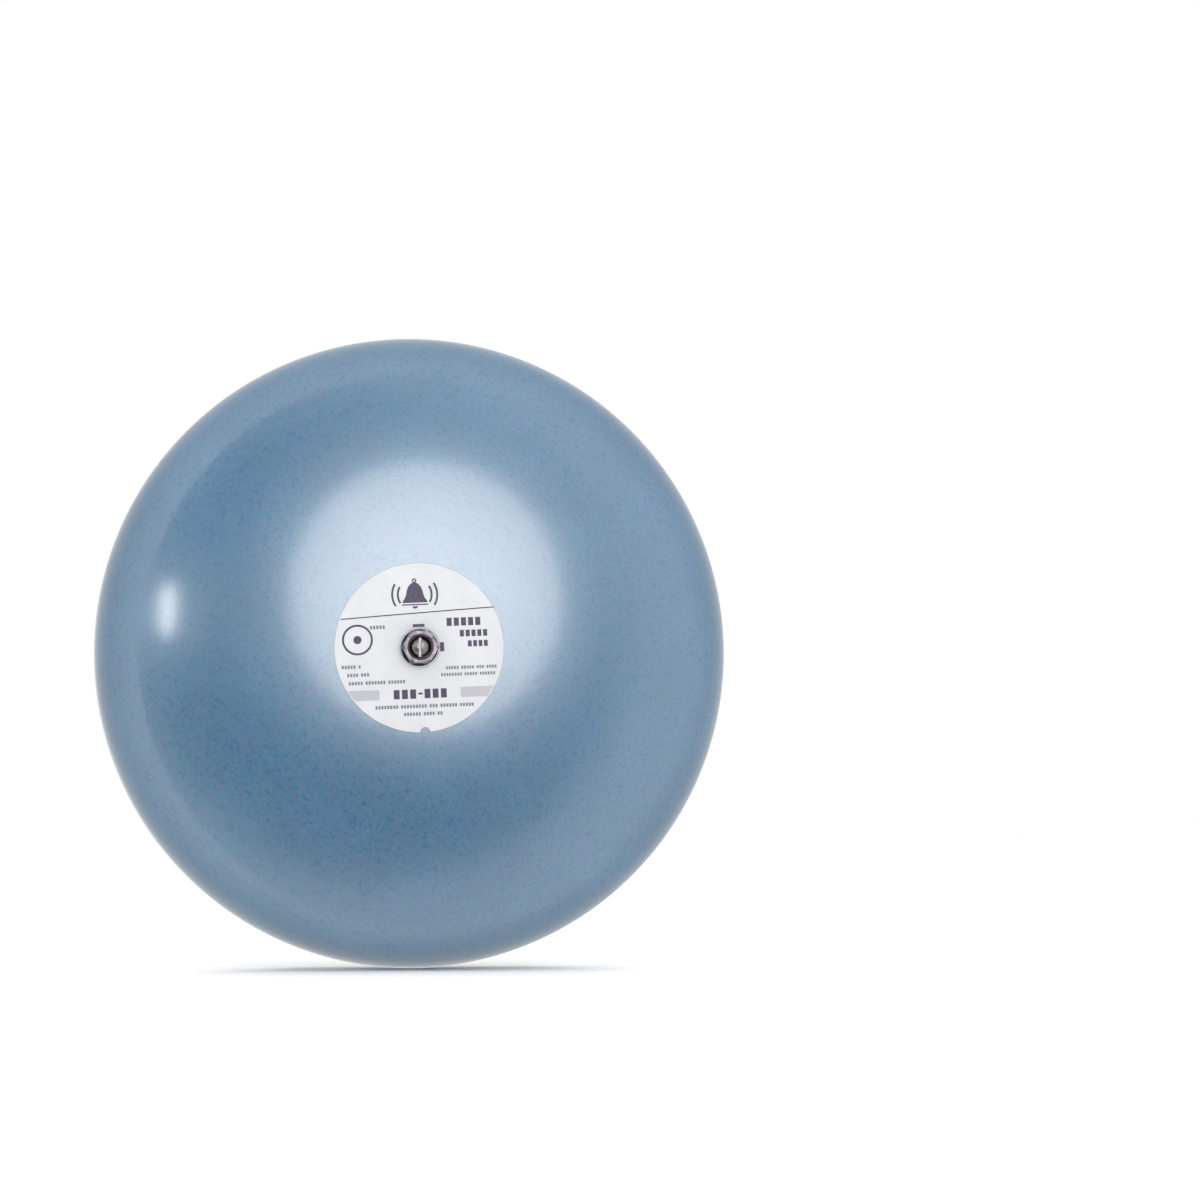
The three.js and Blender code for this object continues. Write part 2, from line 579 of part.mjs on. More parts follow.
function makeLeads() {
  for (const name of ["upper", "lower"]) {
    const points = leadRoute(name);
    addPart(`lead_${name}`, tube(route(points), LEAD_RADIUS, 60), leadSleeve);
    const [x, y, z] = points.at(-1);
    const endZ = z - GAP;
    addPart(`lead_end_${name}`, rodZ(STRAND_RADIUS, x, y, endZ - STRIPPED_LENGTH, endZ, 10), copper);
  }
  // a tie round the four strands where the turn closes
  const room = LEAD_RADIUS + 2 * GAP;
  const left = TURN.x - TURN_RADIUS - room;
  const right = TURN.x - TURN_RADIUS + room;
  const rearY = turnRearY.upper + room;
  const frontY = turnRearY.lower - 2 * LEAD_SPACING - room;
  const high = TURN.y + 1;
  const low = high - TIE_WIDTH;
  const band = box([left - TIE_WALL, frontY - TIE_WALL, low], [right + TIE_WALL, rearY + TIE_WALL, high]);
  const inside = box([left, frontY, low - 1], [right, rearY, high + 1]);
  const lock = box([left, rearY + TIE_WALL / 2, low - 0.5], [right, rearY + TIE_WALL + 1.6, high + 0.5]);
  addPart("lead_tie", join(cut(band, inside), lock), rubber);
}

// ---------------------------------------------------------------- motor, cam and frame
const frameRearY = MOTOR_FRONT_Y - GAP;
const frameFrontY = frameRearY - FRAME_SHEET;
const camRearY = STRIKER_Y + 2;
const camFrontY = STRIKER_Y - 2;

function makeMotor() {
  const can = turnedY(
    [
      [0, MOTOR_FRONT_Y - FRAME_SHEET - 0.6],
      [3.2, MOTOR_FRONT_Y - FRAME_SHEET - 0.6],
      [3.2, MOTOR_FRONT_Y],
      [MOTOR_RADIUS - 1, MOTOR_FRONT_Y],
      [MOTOR_RADIUS, MOTOR_FRONT_Y + 1],
      [MOTOR_RADIUS, MOTOR_REAR_Y],
      [0, MOTOR_REAR_Y],
    ],
    0,
    MOTOR_Z,
    40,
  );
  const shaftBore = rodY(1.2 + GAP, 0, MOTOR_Z, MOTOR_FRONT_Y + 4, MOTOR_FRONT_Y - 5, 16);
  const screwBores = [1, -1].map((side) =>
    rodY(1.3, side * MOTOR_SCREW_X, MOTOR_Z, MOTOR_FRONT_Y + 3.5, MOTOR_FRONT_Y - 1, 12));
  addPart("motor_can", cut(can, shaftBore, ...screwBores), steel);

  const cap = rodY(10, 0, MOTOR_Z, MOTOR_REAR_Y + GAP + 1.5, MOTOR_REAR_Y + GAP, 32);
  const tabLowZ = MOTOR_Z - MOTOR_TAB_REACH;
  const tabs = [6, -6].map((x) =>
    box([x - 1.2, MOTOR_REAR_Y + 0.5, tabLowZ], [x + 1.2, MOTOR_REAR_Y + 1.1, MOTOR_Z - 6]));
  addPart("motor_end_cap", join(cap, ...tabs), nylon);

  addPart("motor_shaft", rodY(1.2, 0, MOTOR_Z, MOTOR_FRONT_Y + 3, camFrontY - 2.5, 16), steel);

  // the cam: a round hub with one rounded nose, pointing sideways at rest
  const nose = 4;
  const hub = 7.5;
  const lean = Math.acos((hub - nose) / (CAM_REACH - nose));
  const outline = new THREE.Shape();
  outline.absarc(0, MOTOR_Z, hub, lean, 2 * Math.PI - lean);
  outline.absarc(CAM_REACH - nose, MOTOR_Z, nose, -lean, lean);
  const cam = slab(outline, camRearY, camFrontY, 10);
  addPart("drive_cam", cut(cam, rodY(1.2 + GAP, 0, MOTOR_Z, camRearY + 1, camFrontY - 1, 16)), brass);
}

function makeFrame() {
  const plate = box([-32, frameFrontY, -10], [32, frameRearY, 30]);
  const neck = box([-8, frameFrontY, LUG_Z - FRAME_SHEET], [8, frameRearY, -9]);
  const lug = box([-8, STRIKER_Y - 5.4, LUG_Z - FRAME_SHEET], [8, frameRearY, LUG_Z]);
  const holes = [
    rodY(3.5, 0, MOTOR_Z, frameRearY + 1, frameFrontY - 1),
    rodZ(ROD_RADIUS + 0.25, 0, STRIKER_Y, LUG_Z - 3, LUG_Z + 1),
    ...[1, -1].map((side) => rodY(1.3, side * MOTOR_SCREW_X, MOTOR_Z, frameRearY + 1, frameFrontY - 1, 12)),
    ...framePosts.map(([x, z]) => rodY(1.8, x, z, frameRearY + 1, frameFrontY - 1, 12)),
  ];
  addPart("mechanism_frame", cut(join(plate, neck, lug), ...holes), steel);

  framePosts.forEach(([x, z], i) => {
    const seat = frameRearY + GAP;
    const shank = [[0, seat - 9], [1.1, seat - 9], [1.1, seat]];
    const head = [[2.8, seat], [2.8, seat + 1.2], [1.8, seat + 1.9], [0, seat + 1.9]];
    addPart(`frame_screw_${i + 1}`, turnedY([...shank, ...head], x, z, 12), zinc);
  });
  [1, -1].forEach((side, i) => {
    const seat = frameFrontY - GAP;
    const shank = [[0, seat + 4.6], [1, seat + 4.6], [1, seat]];
    const head = [[2.1, seat], [2.1, seat - 0.9], [0, seat - 1.1]];
    addPart(`motor_screw_${i + 1}`, turnedY([...shank, ...head], side * MOTOR_SCREW_X, MOTOR_Z, 12), zinc);
  });
}

// ---------------------------------------------------------------- striker
// The gong's inside directly below the gong axis, at the striker's distance from the wall.
const insideShoulder = GONG_SHOULDER - GONG_SHEET;
const insideRadius = shoulderCentre.x + Math.sqrt(insideShoulder ** 2 - (STRIKER_Y - shoulderCentre.y) ** 2);
const tipLowZ = GONG_Z - insideRadius + STRIKE_GAP;
const headTopZ = MOTOR_Z - CAM_REACH - CAM_GAP;
const headLowZ = headTopZ - 3;

function makeStriker() {
  const rodLowZ = TIP_HIGH_Z - 4;
  const bore = (lowZ, highZ) => rodZ(ROD_RADIUS + GAP, 0, STRIKER_Y, lowZ, highZ, 20);
  addPart("striker_rod", rodZ(ROD_RADIUS, 0, STRIKER_Y, rodLowZ, headLowZ + 1.5, 20), steel);
  const head = turnedZ(
    [[0, headLowZ], [4.3, headLowZ], [4.5, headTopZ - 0.6], [3.9, headTopZ], [0, headTopZ]],
    0,
    STRIKER_Y,
  );
  addPart("striker_head", cut(head, bore(headLowZ - 1, headLowZ + 1.8)), nylon);
  const nose = [
    [0, tipLowZ],
    [1.2, tipLowZ + 0.3],
    [2.3, tipLowZ + 1.1],
    [3.1, tipLowZ + 2.3],
    [3.5, tipLowZ + 3.8],
  ];
  const crown = [[3.5, TIP_HIGH_Z - 0.5], [3, TIP_HIGH_Z], [0, TIP_HIGH_Z]];
  const tip = turnedZ([...nose, ...crown], 0, STRIKER_Y);
  addPart("striker_tip", cut(tip, bore(rodLowZ - GAP, TIP_HIGH_Z + 1)), zinc);

  const slide = ROD_RADIUS + 0.25;
  const guide = turnedZ(
    [
      [slide, TIP_HIGH_Z + GAP],
      [5.5, TIP_HIGH_Z + GAP],
      [5.5, -DRUM_RADIUS - GAP],
      [GUIDE_BORE - GAP, -DRUM_RADIUS - GAP],
      [GUIDE_BORE - GAP, -38],
      [slide, -38],
      [slide, TIP_HIGH_Z + GAP],
    ],
    0,
    STRIKER_Y,
  );
  addPart("striker_guide", guide, nylon);

  const wire = 0.35;
  const meanRadius = 3.1;
  const lowZ = LUG_Z + GAP + wire;
  const highZ = headLowZ - GAP - wire;
  const turns = 6;
  class Helix extends THREE.Curve {
    getPoint(t, target = new THREE.Vector3()) {
      const angle = 2 * Math.PI * turns * t;
      const z = lowZ + (highZ - lowZ) * t;
      return target.set(meanRadius * Math.cos(angle), STRIKER_Y + meanRadius * Math.sin(angle), z);
    }
  }
  addPart("return_spring", tube(new Helix(), wire, turns * 12, 6), springSteel);
}

// ---------------------------------------------------------------- wiring inside the housing
function makeWiring() {
  const boardRearY = -28.2;
  const plate = box([12, -29.8, -27], [31, boardRearY, -15]);
  const posts = [[27.5, -18], [27.5, -24], [17, -18]];
  const pins = posts.map(([x, z]) => rodY(0.9, x, z, boardRearY + 3, boardRearY - 0.5, 12));
  addPart("terminal_board", join(plate, ...pins), board);
  addPart("suppressor", rodY(3.6, 17.5, -23, boardRearY + GAP + 2.4, boardRearY + GAP, 20), ceramic);

  const pinY = boardRearY + 3 + GAP;
  const wires = {
    inner_lead_upper: [
      [35, -5.8, 0.7], [35, -10, 0.4], [36, -15, -3.5], [36.4, -19.6, -11], [32.5, -23, -16.4],
      [27.5, pinY + 0.9, -18],
    ],
    inner_lead_lower: [
      [35, -5.8, -2.7], [35, -10, -3], [34.6, -14, -7.4], [33, -18.4, -15], [30, -22, -21],
      [27.5, pinY + 0.9, -24],
    ],
  };
  for (const [name, points] of Object.entries(wires)) {
    addPart(name, tube(route(points), 1, 14), leadSleeve);
  }
  const wireZ = MOTOR_Z - MOTOR_TAB_REACH - GAP - 0.8;
  const motorWires = {
    motor_wire_right: [
      [6, -8.2, wireZ], [9, -9.5, -4], [15, -13, -8.6], [19.6, -18, -13.6], [18.5, -22, -17],
      [17, pinY + 0.9, -18],
    ],
    motor_wire_left: [
      [-6, -8.2, wireZ], [-3, -9.4, -5.6], [4, -11.6, -12.4], [12, -15.5, -20], [16, -20, -22.6],
      [17.5, -24.4, -22.8],
    ],
  };
  for (const [name, points] of Object.entries(motorWires)) {
    addPart(name, tube(route(points), 0.6, 14, 6), sleeveRed);
  }
}

makeGong();
makeLabel();
makeHub();
makeBracket();
makeHousing();
makeGasket();
makeRearPlate();
makeLeads();
makeMotor();
makeFrame();
makeStriker();
makeWiring();

export default group;
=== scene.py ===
# Looks of a motor-driven fire alarm bell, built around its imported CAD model.
# Shapes are worked out in millimetres in the row frame and turned into metres when a mesh is made.
# +X is right as seen from the front, +Z is up, the gong faces -Y and the wall is the plane y = 0.
from contextlib import contextmanager
import json
import math
import random

import bmesh
import bpy
from mathutils import Matrix, Vector


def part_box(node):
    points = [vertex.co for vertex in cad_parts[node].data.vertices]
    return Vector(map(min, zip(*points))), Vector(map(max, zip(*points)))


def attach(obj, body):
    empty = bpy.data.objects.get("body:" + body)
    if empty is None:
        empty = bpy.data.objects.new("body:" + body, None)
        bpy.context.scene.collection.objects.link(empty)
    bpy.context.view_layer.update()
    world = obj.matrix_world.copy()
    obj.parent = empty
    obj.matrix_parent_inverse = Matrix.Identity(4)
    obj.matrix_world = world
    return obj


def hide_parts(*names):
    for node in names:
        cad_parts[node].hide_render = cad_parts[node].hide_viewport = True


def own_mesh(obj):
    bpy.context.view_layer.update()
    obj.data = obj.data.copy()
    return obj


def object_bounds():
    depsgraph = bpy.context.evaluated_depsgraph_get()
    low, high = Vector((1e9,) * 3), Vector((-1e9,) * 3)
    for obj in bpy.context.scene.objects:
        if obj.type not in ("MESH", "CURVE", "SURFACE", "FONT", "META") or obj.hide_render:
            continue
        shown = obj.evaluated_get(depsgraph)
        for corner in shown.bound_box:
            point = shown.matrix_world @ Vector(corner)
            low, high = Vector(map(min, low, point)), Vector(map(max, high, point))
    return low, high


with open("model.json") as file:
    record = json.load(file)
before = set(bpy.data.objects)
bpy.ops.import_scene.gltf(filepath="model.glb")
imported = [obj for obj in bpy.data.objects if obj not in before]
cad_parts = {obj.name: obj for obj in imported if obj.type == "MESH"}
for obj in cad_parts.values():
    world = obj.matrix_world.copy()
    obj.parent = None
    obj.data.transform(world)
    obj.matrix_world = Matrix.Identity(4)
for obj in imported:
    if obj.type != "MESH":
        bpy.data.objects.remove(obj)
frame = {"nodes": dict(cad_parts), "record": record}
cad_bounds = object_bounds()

MM = 0.001
PI = math.pi
TINY = 1e-7  # metres: points closer than this are one point
ON_AXIS = 1e-6  # millimetres: a smaller radius is a point on the axis
NEARLY_STRAIGHT = 0.01  # radians: a corner that turns less than this isn't rounded
DIAGONALS = ((1, 1), (-1, 1), (-1, -1), (1, -1))


def corners(node):
    """The lowest and highest corners of a CAD node, in millimetres."""
    low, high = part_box(node)
    return low / MM, high / MM


# ---- driving dimensions, in millimetres
gong_low, gong_high = corners("gong")
GONG_RADIUS = (gong_high.x - gong_low.x) / 2
GONG_Z = (gong_high.z + gong_low.z) / 2
RIM_Y = gong_high.y
GONG_DEPTH = 48
GONG_SHEET = 2
GONG_SHOULDER = 26
GONG_SKIRT = 8
GONG_DRAFT = math.radians(4)
GONG_HOLE = 4.4
APEX_Y = RIM_Y - GONG_DEPTH

LABEL_RADIUS = 33
LABEL_HOLE = 7.8
LABEL_LIFT = 0.3  # gap between the gong and the back of the label
LABEL_SHEET = 0.35
LABEL_TURN = math.radians(2.5)  # the label sits slightly turned

FLANGE_HALF = 59
LIP_Y = -5
GROOVE_Y = -8.6
FLOOR_Y = -6
FLANGE_FRONT_Y = -11.3
DRUM_RADIUS = 47
DRUM_WALL = 3
DRUM_FRONT_Y = corners("base_housing")[0].y
GROOVE_OUTER = 55.4  # half widths across the base
RIB_OUTER = 53.2
RIB_INNER = 50.2
BOSS_Y = -2
SLOT_PITCH = 83.3
CORNER_HOLE_PITCH = 95
LEAD_RADIUS = 1.2
STRIKER_Y = -27.6
GAP = 0.3  # left between pieces that touch

# ---- camera
# The lens looks at the gong from slightly to its left and below, and is aimed beside it.
CAMERA_AZIMUTH = -3.7  # degrees
CAMERA_ELEVATION = -2.3
CAMERA_DISTANCE = 1.350  # metres from the rim plane
AIM_RIGHT = 0.0763  # metres from the gong's middle to the middle of the picture
AIM_UP = 0.0215


def placed(name, data):
    """A new object in the scene that shows the given mesh, curve, camera or light."""
    obj = bpy.data.objects.new(name, data)
    bpy.context.scene.collection.objects.link(obj)
    return obj


def aimed(obj, target):
    """Turns a camera or a light towards a point."""
    obj.rotation_euler = (target - obj.location).to_track_quat("-Z", "Y").to_euler()


def towards(azimuth, elevation):
    """A unit vector to a direction in degrees; 0, 0 is the gong's front and azimuth turns to the right."""
    a, e = math.radians(azimuth), math.radians(elevation)
    return Vector((math.sin(a) * math.cos(e), -math.cos(a) * math.cos(e), math.sin(e)))


def make_camera():
    data = bpy.data.cameras.new("camera")
    data.lens = 100
    data.sensor_width = 36
    camera = placed("camera", data)
    middle = Vector((0, RIM_Y * MM, GONG_Z * MM))
    outwards = towards(CAMERA_AZIMUTH, CAMERA_ELEVATION)
    right = towards(CAMERA_AZIMUTH + 90, 0)
    up = right.cross(-outwards)
    camera.location = middle + CAMERA_DISTANCE * outwards
    aimed(camera, middle + AIM_RIGHT * right + AIM_UP * up)
    bpy.context.scene.camera = camera


make_camera()

# ---- node materials


class Graph:
    """Short calls for the nodes of a material or of the world."""

    def __init__(self, tree):
        self.tree = tree
        self.nodes = tree.nodes

    def link(self, output, socket):
        self.tree.links.new(output, socket)

    def node(self, kind, inputs=None, **settings):
        """A node with its settings made and its inputs, by name or number, linked or set."""
        node = self.nodes.new("ShaderNode" + kind)
        for setting, value in settings.items():
            setattr(node, setting, value)
        for key, value in (inputs or {}).items():
            socket = node.inputs[key]
            if isinstance(value, bpy.types.NodeSocket):
                self.link(value, socket)
            else:
                socket.default_value = (*value, 1) if socket.type == "RGBA" else value
        return node

    def ramp(self, factor, stops):
        """A colour ramp from (position, colour) pairs."""
        node = self.node("ValToRGB", {"Fac": factor})
        elements = node.color_ramp.elements
        while len(elements) < len(stops):
            elements.new(0.5)
        for element, (position, colour) in zip(elements, stops):
            element.position = position
            element.color = (*colour, 1)
        return node.outputs["Color"]


class Finish(Graph):
    """A Principled material and its textures, placed in the object's own coordinates."""

    def __init__(self, name, roughness=0.5, metallic=0.0, **sockets):
        self.slot = name
        self.material = bpy.data.materials.new(name)
        self.material.use_nodes = True
        super().__init__(self.material.node_tree)
        self.sockets = self.nodes["Principled BSDF"].inputs
        for socket, value in {"Roughness": roughness, "Metallic": metallic, **sockets}.items():
            self.sockets[socket.replace("_", " ")].default_value = value
        self.place = self.node("TexCoord").outputs["Object"]

    def noise(self, grain_mm, detail=3.0, rough=0.5, where=None):
        """Noise whose grains are about grain_mm across."""
        inputs = {"Scale": 1 / (grain_mm * MM), "Detail": detail, "Roughness": rough}
        return self.node("TexNoise", {**inputs, "Vector": where or self.place}).outputs["Fac"]

    def cells(self, size_mm, output="Color"):
        return self.node("TexVoronoi", {"Scale": 1 / (size_mm * MM), "Vector": self.place}).outputs[output]

    def mix(self, factor, first, second, blend="MIX"):
        """Mixes two colours; each is an output or a colour, and factor an output or a number."""
        inputs = {0: factor, 6: first, 7: second}  # the node's colour sockets
        return self.node("Mix", inputs, data_type="RGBA", blend_type=blend).outputs[2]

    def colour(self, output):
        self.link(output, self.sockets["Base Color"])

    def tones(self, factor, dark, light, low=0.3, high=0.7):
        """Colours the surface from dark to light as factor goes from low to high."""
        self.colour(self.ramp(factor, [(low, dark), (high, light)]))

    def gloss(self, factor, smooth, rough, low=0.3, high=0.7):
        """Varies the roughness from smooth to rough as factor goes from low to high."""
        limits = {"Value": factor, "From Min": low, "From Max": high, "To Min": smooth, "To Max": rough}
        self.link(self.node("MapRange", limits).outputs["Result"], self.sockets["Roughness"])

    def bump(self, *layers):
        """Bump layers, each (height output, depth in mm)."""
        below = {}
        for height, depth in layers:
            node = self.node("Bump", {"Distance": depth * MM, "Height": height, **below})
            below = {"Normal": node.outputs["Normal"]}
        self.link(below["Normal"], self.sockets["Normal"])
        return self


def gong_enamel():
    """Satin grey-blue enamel, mottled finely with blue and teal, and a slight orange peel."""
    f = Finish(
        "gong_enamel", 0.31, IOR=1.7, Specular_IOR_Level=0.9, Coat_Weight=1.0, Coat_Roughness=0.12
    )
    body = f.ramp(f.noise(30, 2), [(0.35, (0.035, 0.115, 0.194)), (0.65, (0.042, 0.128, 0.212))])
    mottle = f.ramp(f.noise(1.4, 2, 0.6), [
        (0.40, (0.10, 0.90, 0.92)),
        (0.50, (0.86, 0.94, 0.98)),
        (0.60, (1.00, 0.82, 1.00)),
    ])
    speck = f.ramp(f.noise(1.8, 3, 0.7), [(0.38, (0.0, 0.62, 0.98)), (0.45, (1.0, 1.0, 1.0))])
    f.colour(f.mix(0.8, f.mix(1.0, body, mottle, "MULTIPLY"), speck, "MULTIPLY"))
    f.gloss(f.noise(1.6), 0.29, 0.34)
    return f.bump((f.noise(0.9, 3, 0.6), 0.030), (f.noise(6, 2), 0.05))


def label_foil():
    """Off-white printed film with a faint satin gloss."""
    f = Finish("label_foil", 0.42, Specular_IOR_Level=0.35)
    f.tones(f.noise(9), (0.475, 0.480, 0.500), (0.510, 0.515, 0.535))
    return f.bump((f.noise(0.35, 2), 0.004), (f.noise(5, 2), 0.03))


def printing_ink(name, dark, light):
    f = Finish(name, 0.5)
    f.tones(f.noise(0.5), dark, light, 0.35, 0.75)
    return f.bump((f.noise(0.3, 2), 0.004))


WEAR = 0.12  # how much rougher a metal is where it is most worn


def worked_metal(name, dark, light, rough, grain=0.6):
    """Bare or plated metal: slow tone changes, fine tool marks and uneven gloss."""
    f = Finish(name, rough, 1.0)
    f.tones(f.mix(0.35, f.noise(3.5), f.noise(grain, 4, 0.7)), dark, light, 0.34, 0.66)
    f.gloss(f.noise(1.1, 4), rough - WEAR / 2, rough + WEAR)
    return f.bump((f.noise(grain, 4, 0.7), 0.012))


def fibre():
    f = Finish("fibre", 0.85)
    f.tones(f.noise(0.35, 5, 0.75), (0.10, 0.030, 0.015), (0.20, 0.065, 0.035))
    return f.bump((f.noise(0.3, 5, 0.8), 0.05))


def yellow_chromate():
    """Zinc plating with the yellow, green and violet bloom of a chromate dip."""
    f = Finish("yellow_chromate", 0.3, 1.0)
    bloom = f.ramp(f.noise(9, 2.5, 0.45), [
        (0.34, (0.19, 0.15, 0.33)),
        (0.42, (0.17, 0.17, 0.15)),
        (0.50, (0.11, 0.17, 0.02)),
        (0.58, (0.18, 0.22, 0.02)),
        (0.68, (0.28, 0.30, 0.07)),
    ])
    grain = f.ramp(f.noise(0.7, 4), [(0.3, (0.35, 0.35, 0.30)), (0.7, (1.0, 1.0, 0.9))])
    f.colour(f.mix(0.5, bloom, grain, "MULTIPLY"))
    f.gloss(f.noise(2.2, 4), 0.22, 0.42)
    return f.bump((f.noise(0.8, 4), 0.010))


def grey_plastic():
    """Moulded blue-grey plastic with a fine spark-eroded grain."""
    f = Finish("grey_plastic", 0.48, Specular_IOR_Level=0.45)
    f.tones(f.noise(14), (0.048, 0.075, 0.108), (0.060, 0.090, 0.126))
    f.gloss(f.noise(5), 0.42, 0.56)
    return f.bump((f.noise(0.22, 3, 0.7), 0.020), (f.noise(18, 2), 0.06))


def black_rubber():
    """Dull black rubber, hardly glossy."""
    f = Finish("black_rubber", 0.30, Specular_IOR_Level=0.05)
    f.tones(f.noise(2), (0.003, 0.003, 0.004), (0.006, 0.006, 0.007))
    f.gloss(f.noise(1.5, 4), 0.26, 0.42)
    return f.bump((f.noise(0.5), 0.015))


def galvanised_steel():
    """Zinc-coated sheet with a small, soft spangle."""
    f = Finish("galvanised_steel", 0.42, 1.0)
    spangle = f.ramp(f.cells(1.6), [(0.0, (0.15, 0.24, 0.33)), (1.0, (0.24, 0.34, 0.44))])
    grain = f.ramp(f.noise(0.5, 4, 0.7), [(0.3, (0.13, 0.22, 0.32)), (0.7, (0.27, 0.37, 0.47))])
    f.colour(f.mix(0.5, spangle, grain))
    edges = f.cells(1.6, "Distance")
    f.gloss(edges, 0.38, 0.55, 0.0, 0.8)
    return f.bump((f.noise(0.45, 4, 0.7), 0.012), (edges, 0.006))


def sleeving(name, dark, light):
    f = Finish(name, 0.2, Specular_IOR_Level=0.2)
    f.tones(f.noise(4), dark, light)
    f.gloss(f.noise(2.5), 0.14, 0.26)
    return f.bump((f.noise(0.6), 0.008))


def plain_polymer(name, dark, light, rough):
    f = Finish(name, rough)
    f.tones(f.noise(5), dark, light)
    f.gloss(f.noise(2), rough - 0.06, rough + 0.08)
    return f.bump((f.noise(0.4), 0.010))


def circuit_board():
    """Brown paper laminate: short fibres lie along the sheet."""
    f = Finish("circuit_board", 0.55)
    mapping = f.node("Mapping", {"Vector": f.place, "Scale": (0.25, 1, 1)})
    weave = f.noise(0.5, 4, 0.7, mapping.outputs["Vector"])
    f.tones(weave, (0.26, 0.15, 0.045), (0.38, 0.23, 0.085))
    return f.bump((weave, 0.01))


FINISHES = {f.slot: f.material for f in (
    gong_enamel(),
    label_foil(),
    printing_ink("label_ink", (0.022, 0.014, 0.045), (0.060, 0.045, 0.090)),
    worked_metal("dark_zinc", (0.060, 0.045, 0.075), (0.240, 0.215, 0.225), 0.30, grain=0.9),
    worked_metal("zinc_steel", (0.42, 0.43, 0.44), (0.62, 0.63, 0.64), 0.28),
    fibre(),
    yellow_chromate(),
    grey_plastic(),
    black_rubber(),
    galvanised_steel(),
    worked_metal("brass", (0.24, 0.22, 0.08), (0.46, 0.42, 0.20), 0.3),
    sleeving("black_sleeving", (0.006, 0.006, 0.007), (0.014, 0.014, 0.016)),
    sleeving("red_sleeving", (0.26, 0.02, 0.012), (0.38, 0.035, 0.02)),
    worked_metal("copper", (0.62, 0.27, 0.14), (0.83, 0.42, 0.25), 0.25),
    plain_polymer("tie_nylon", (0.010, 0.010, 0.011), (0.022, 0.022, 0.024), 0.38),
    worked_metal("bare_steel", (0.30, 0.31, 0.32), (0.48, 0.49, 0.50), 0.3),
    plain_polymer("white_nylon", (0.66, 0.64, 0.58), (0.76, 0.74, 0.68), 0.42),
    worked_metal("spring_steel", (0.40, 0.41, 0.42), (0.58, 0.59, 0.60), 0.24, grain=0.3),
    circuit_board(),
    plain_polymer("ceramic_disc", (0.42, 0.14, 0.035), (0.55, 0.20, 0.06), 0.4),
)}

# the stud has dulled; the washer under the hub nut is dark zinc made blacker than the nut, as painted shade
# round the nut
DULL_ZINC = worked_metal("zinc_steel_dull", (0.16, 0.155, 0.16), (0.30, 0.285, 0.28), 0.30).material
WASHER_SHADE_ZINC = worked_metal("dark_zinc_painted_shade", (0.006, 0.010, 0.014), (0.030, 0.038, 0.046), 0.38).material
# the label's small print and its tinted bars use paler screens of the same ink
SMALL_PRINT_INK = printing_ink("label_ink_small_print", (0.10, 0.10, 0.13), (0.20, 0.20, 0.24)).material
TINT_INK = printing_ink("label_ink_tint", (0.33, 0.325, 0.365), (0.37, 0.365, 0.405)).material

# ---- making pieces
slot_of = {part["node"]: part["material_slot"] for part in frame["record"]["subparts"]}
bodies = frame["record"]["behaviour"]["bodies"]
body_of = {node: body for body, nodes in bodies.items() for node in nodes}


def made(name, vertices, faces):
    """An object from points in millimetres and faces, closed and facing outwards."""
    mesh = bpy.data.meshes.new(name)
    mesh.from_pydata([Vector(v) * MM for v in vertices], [], faces)
    return mended(placed(name, mesh))


@contextmanager
def edited(mesh):
    """The mesh opened for editing, and written back at the end."""
    bm = bmesh.new()
    bm.from_mesh(mesh)
    yield bm
    bm.to_mesh(mesh)
    bm.free()


def mended(obj):
    """The same object with double points joined and every face turned outwards."""
    with edited(obj.data) as bm:
        bmesh.ops.remove_doubles(bm, verts=bm.verts, dist=TINY)
        bmesh.ops.dissolve_degenerate(bm, edges=bm.edges, dist=TINY)
        bmesh.ops.recalc_face_normals(bm, faces=bm.faces)
    return obj


def evaluated(obj):
    """A new mesh of an object as it looks with its modifiers and its bevel."""
    graph = bpy.context.evaluated_depsgraph_get()
    return bpy.data.meshes.new_from_object(obj.evaluated_get(graph))


def applied(obj):
    """The same object with its modifiers applied."""
    mesh = evaluated(obj)
    obj.modifiers.clear()
    obj.data = mesh
    return obj


def combined(obj, tools, operation="DIFFERENCE"):
    """obj with each tool cut from it, joined to it or kept in common with it."""
    for tool in tools:
        modifier = obj.modifiers.new(operation, "BOOLEAN")
        modifier.operation = operation
        modifier.solver = "EXACT"
        modifier.object = tool
    applied(obj)
    for tool in tools:
        bpy.data.objects.remove(tool)
    return mended(obj)


def merged(name, objects):
    """Several objects as one, without joining their surfaces."""
    mesh = bpy.data.meshes.new(name)
    with edited(mesh) as bm:
        for obj in objects:
            bm.from_mesh(obj.data)
            bpy.data.objects.remove(obj)
    return placed(name, mesh)


def rounded(points, steps=4):
    """A closed outline with its corners rounded: each point is (a, b) or (a, b, radius)."""
    outline = []
    count = len(points)
    for i, point in enumerate(points):
        corner = Vector(point[:2])
        radius = point[2] if len(point) > 2 else 0
        before = Vector(points[i - 1][:2]) - corner
        after = Vector(points[(i + 1) % count][:2]) - corner
        half = before.angle(after, 0) / 2
        if radius <= 0 or half == 0 or half > PI / 2 - NEARLY_STRAIGHT:
            outline.append(tuple(corner))
            continue
        u, v = before.normalized(), after.normalized()
        reach = min(radius / math.tan(half), before.length * 0.49, after.length * 0.49)
        radius = reach * math.tan(half)
        centre = corner + (u + v).normalized() * (radius / math.sin(half))
        start, end = corner + u * reach - centre, corner + v * reach - centre
        sweep = start.angle_signed(end)
        for k in range(steps + 1):
            turn = -sweep * k / steps
            outline.append(tuple(centre + Matrix.Rotation(turn, 2) @ start))
    return outline


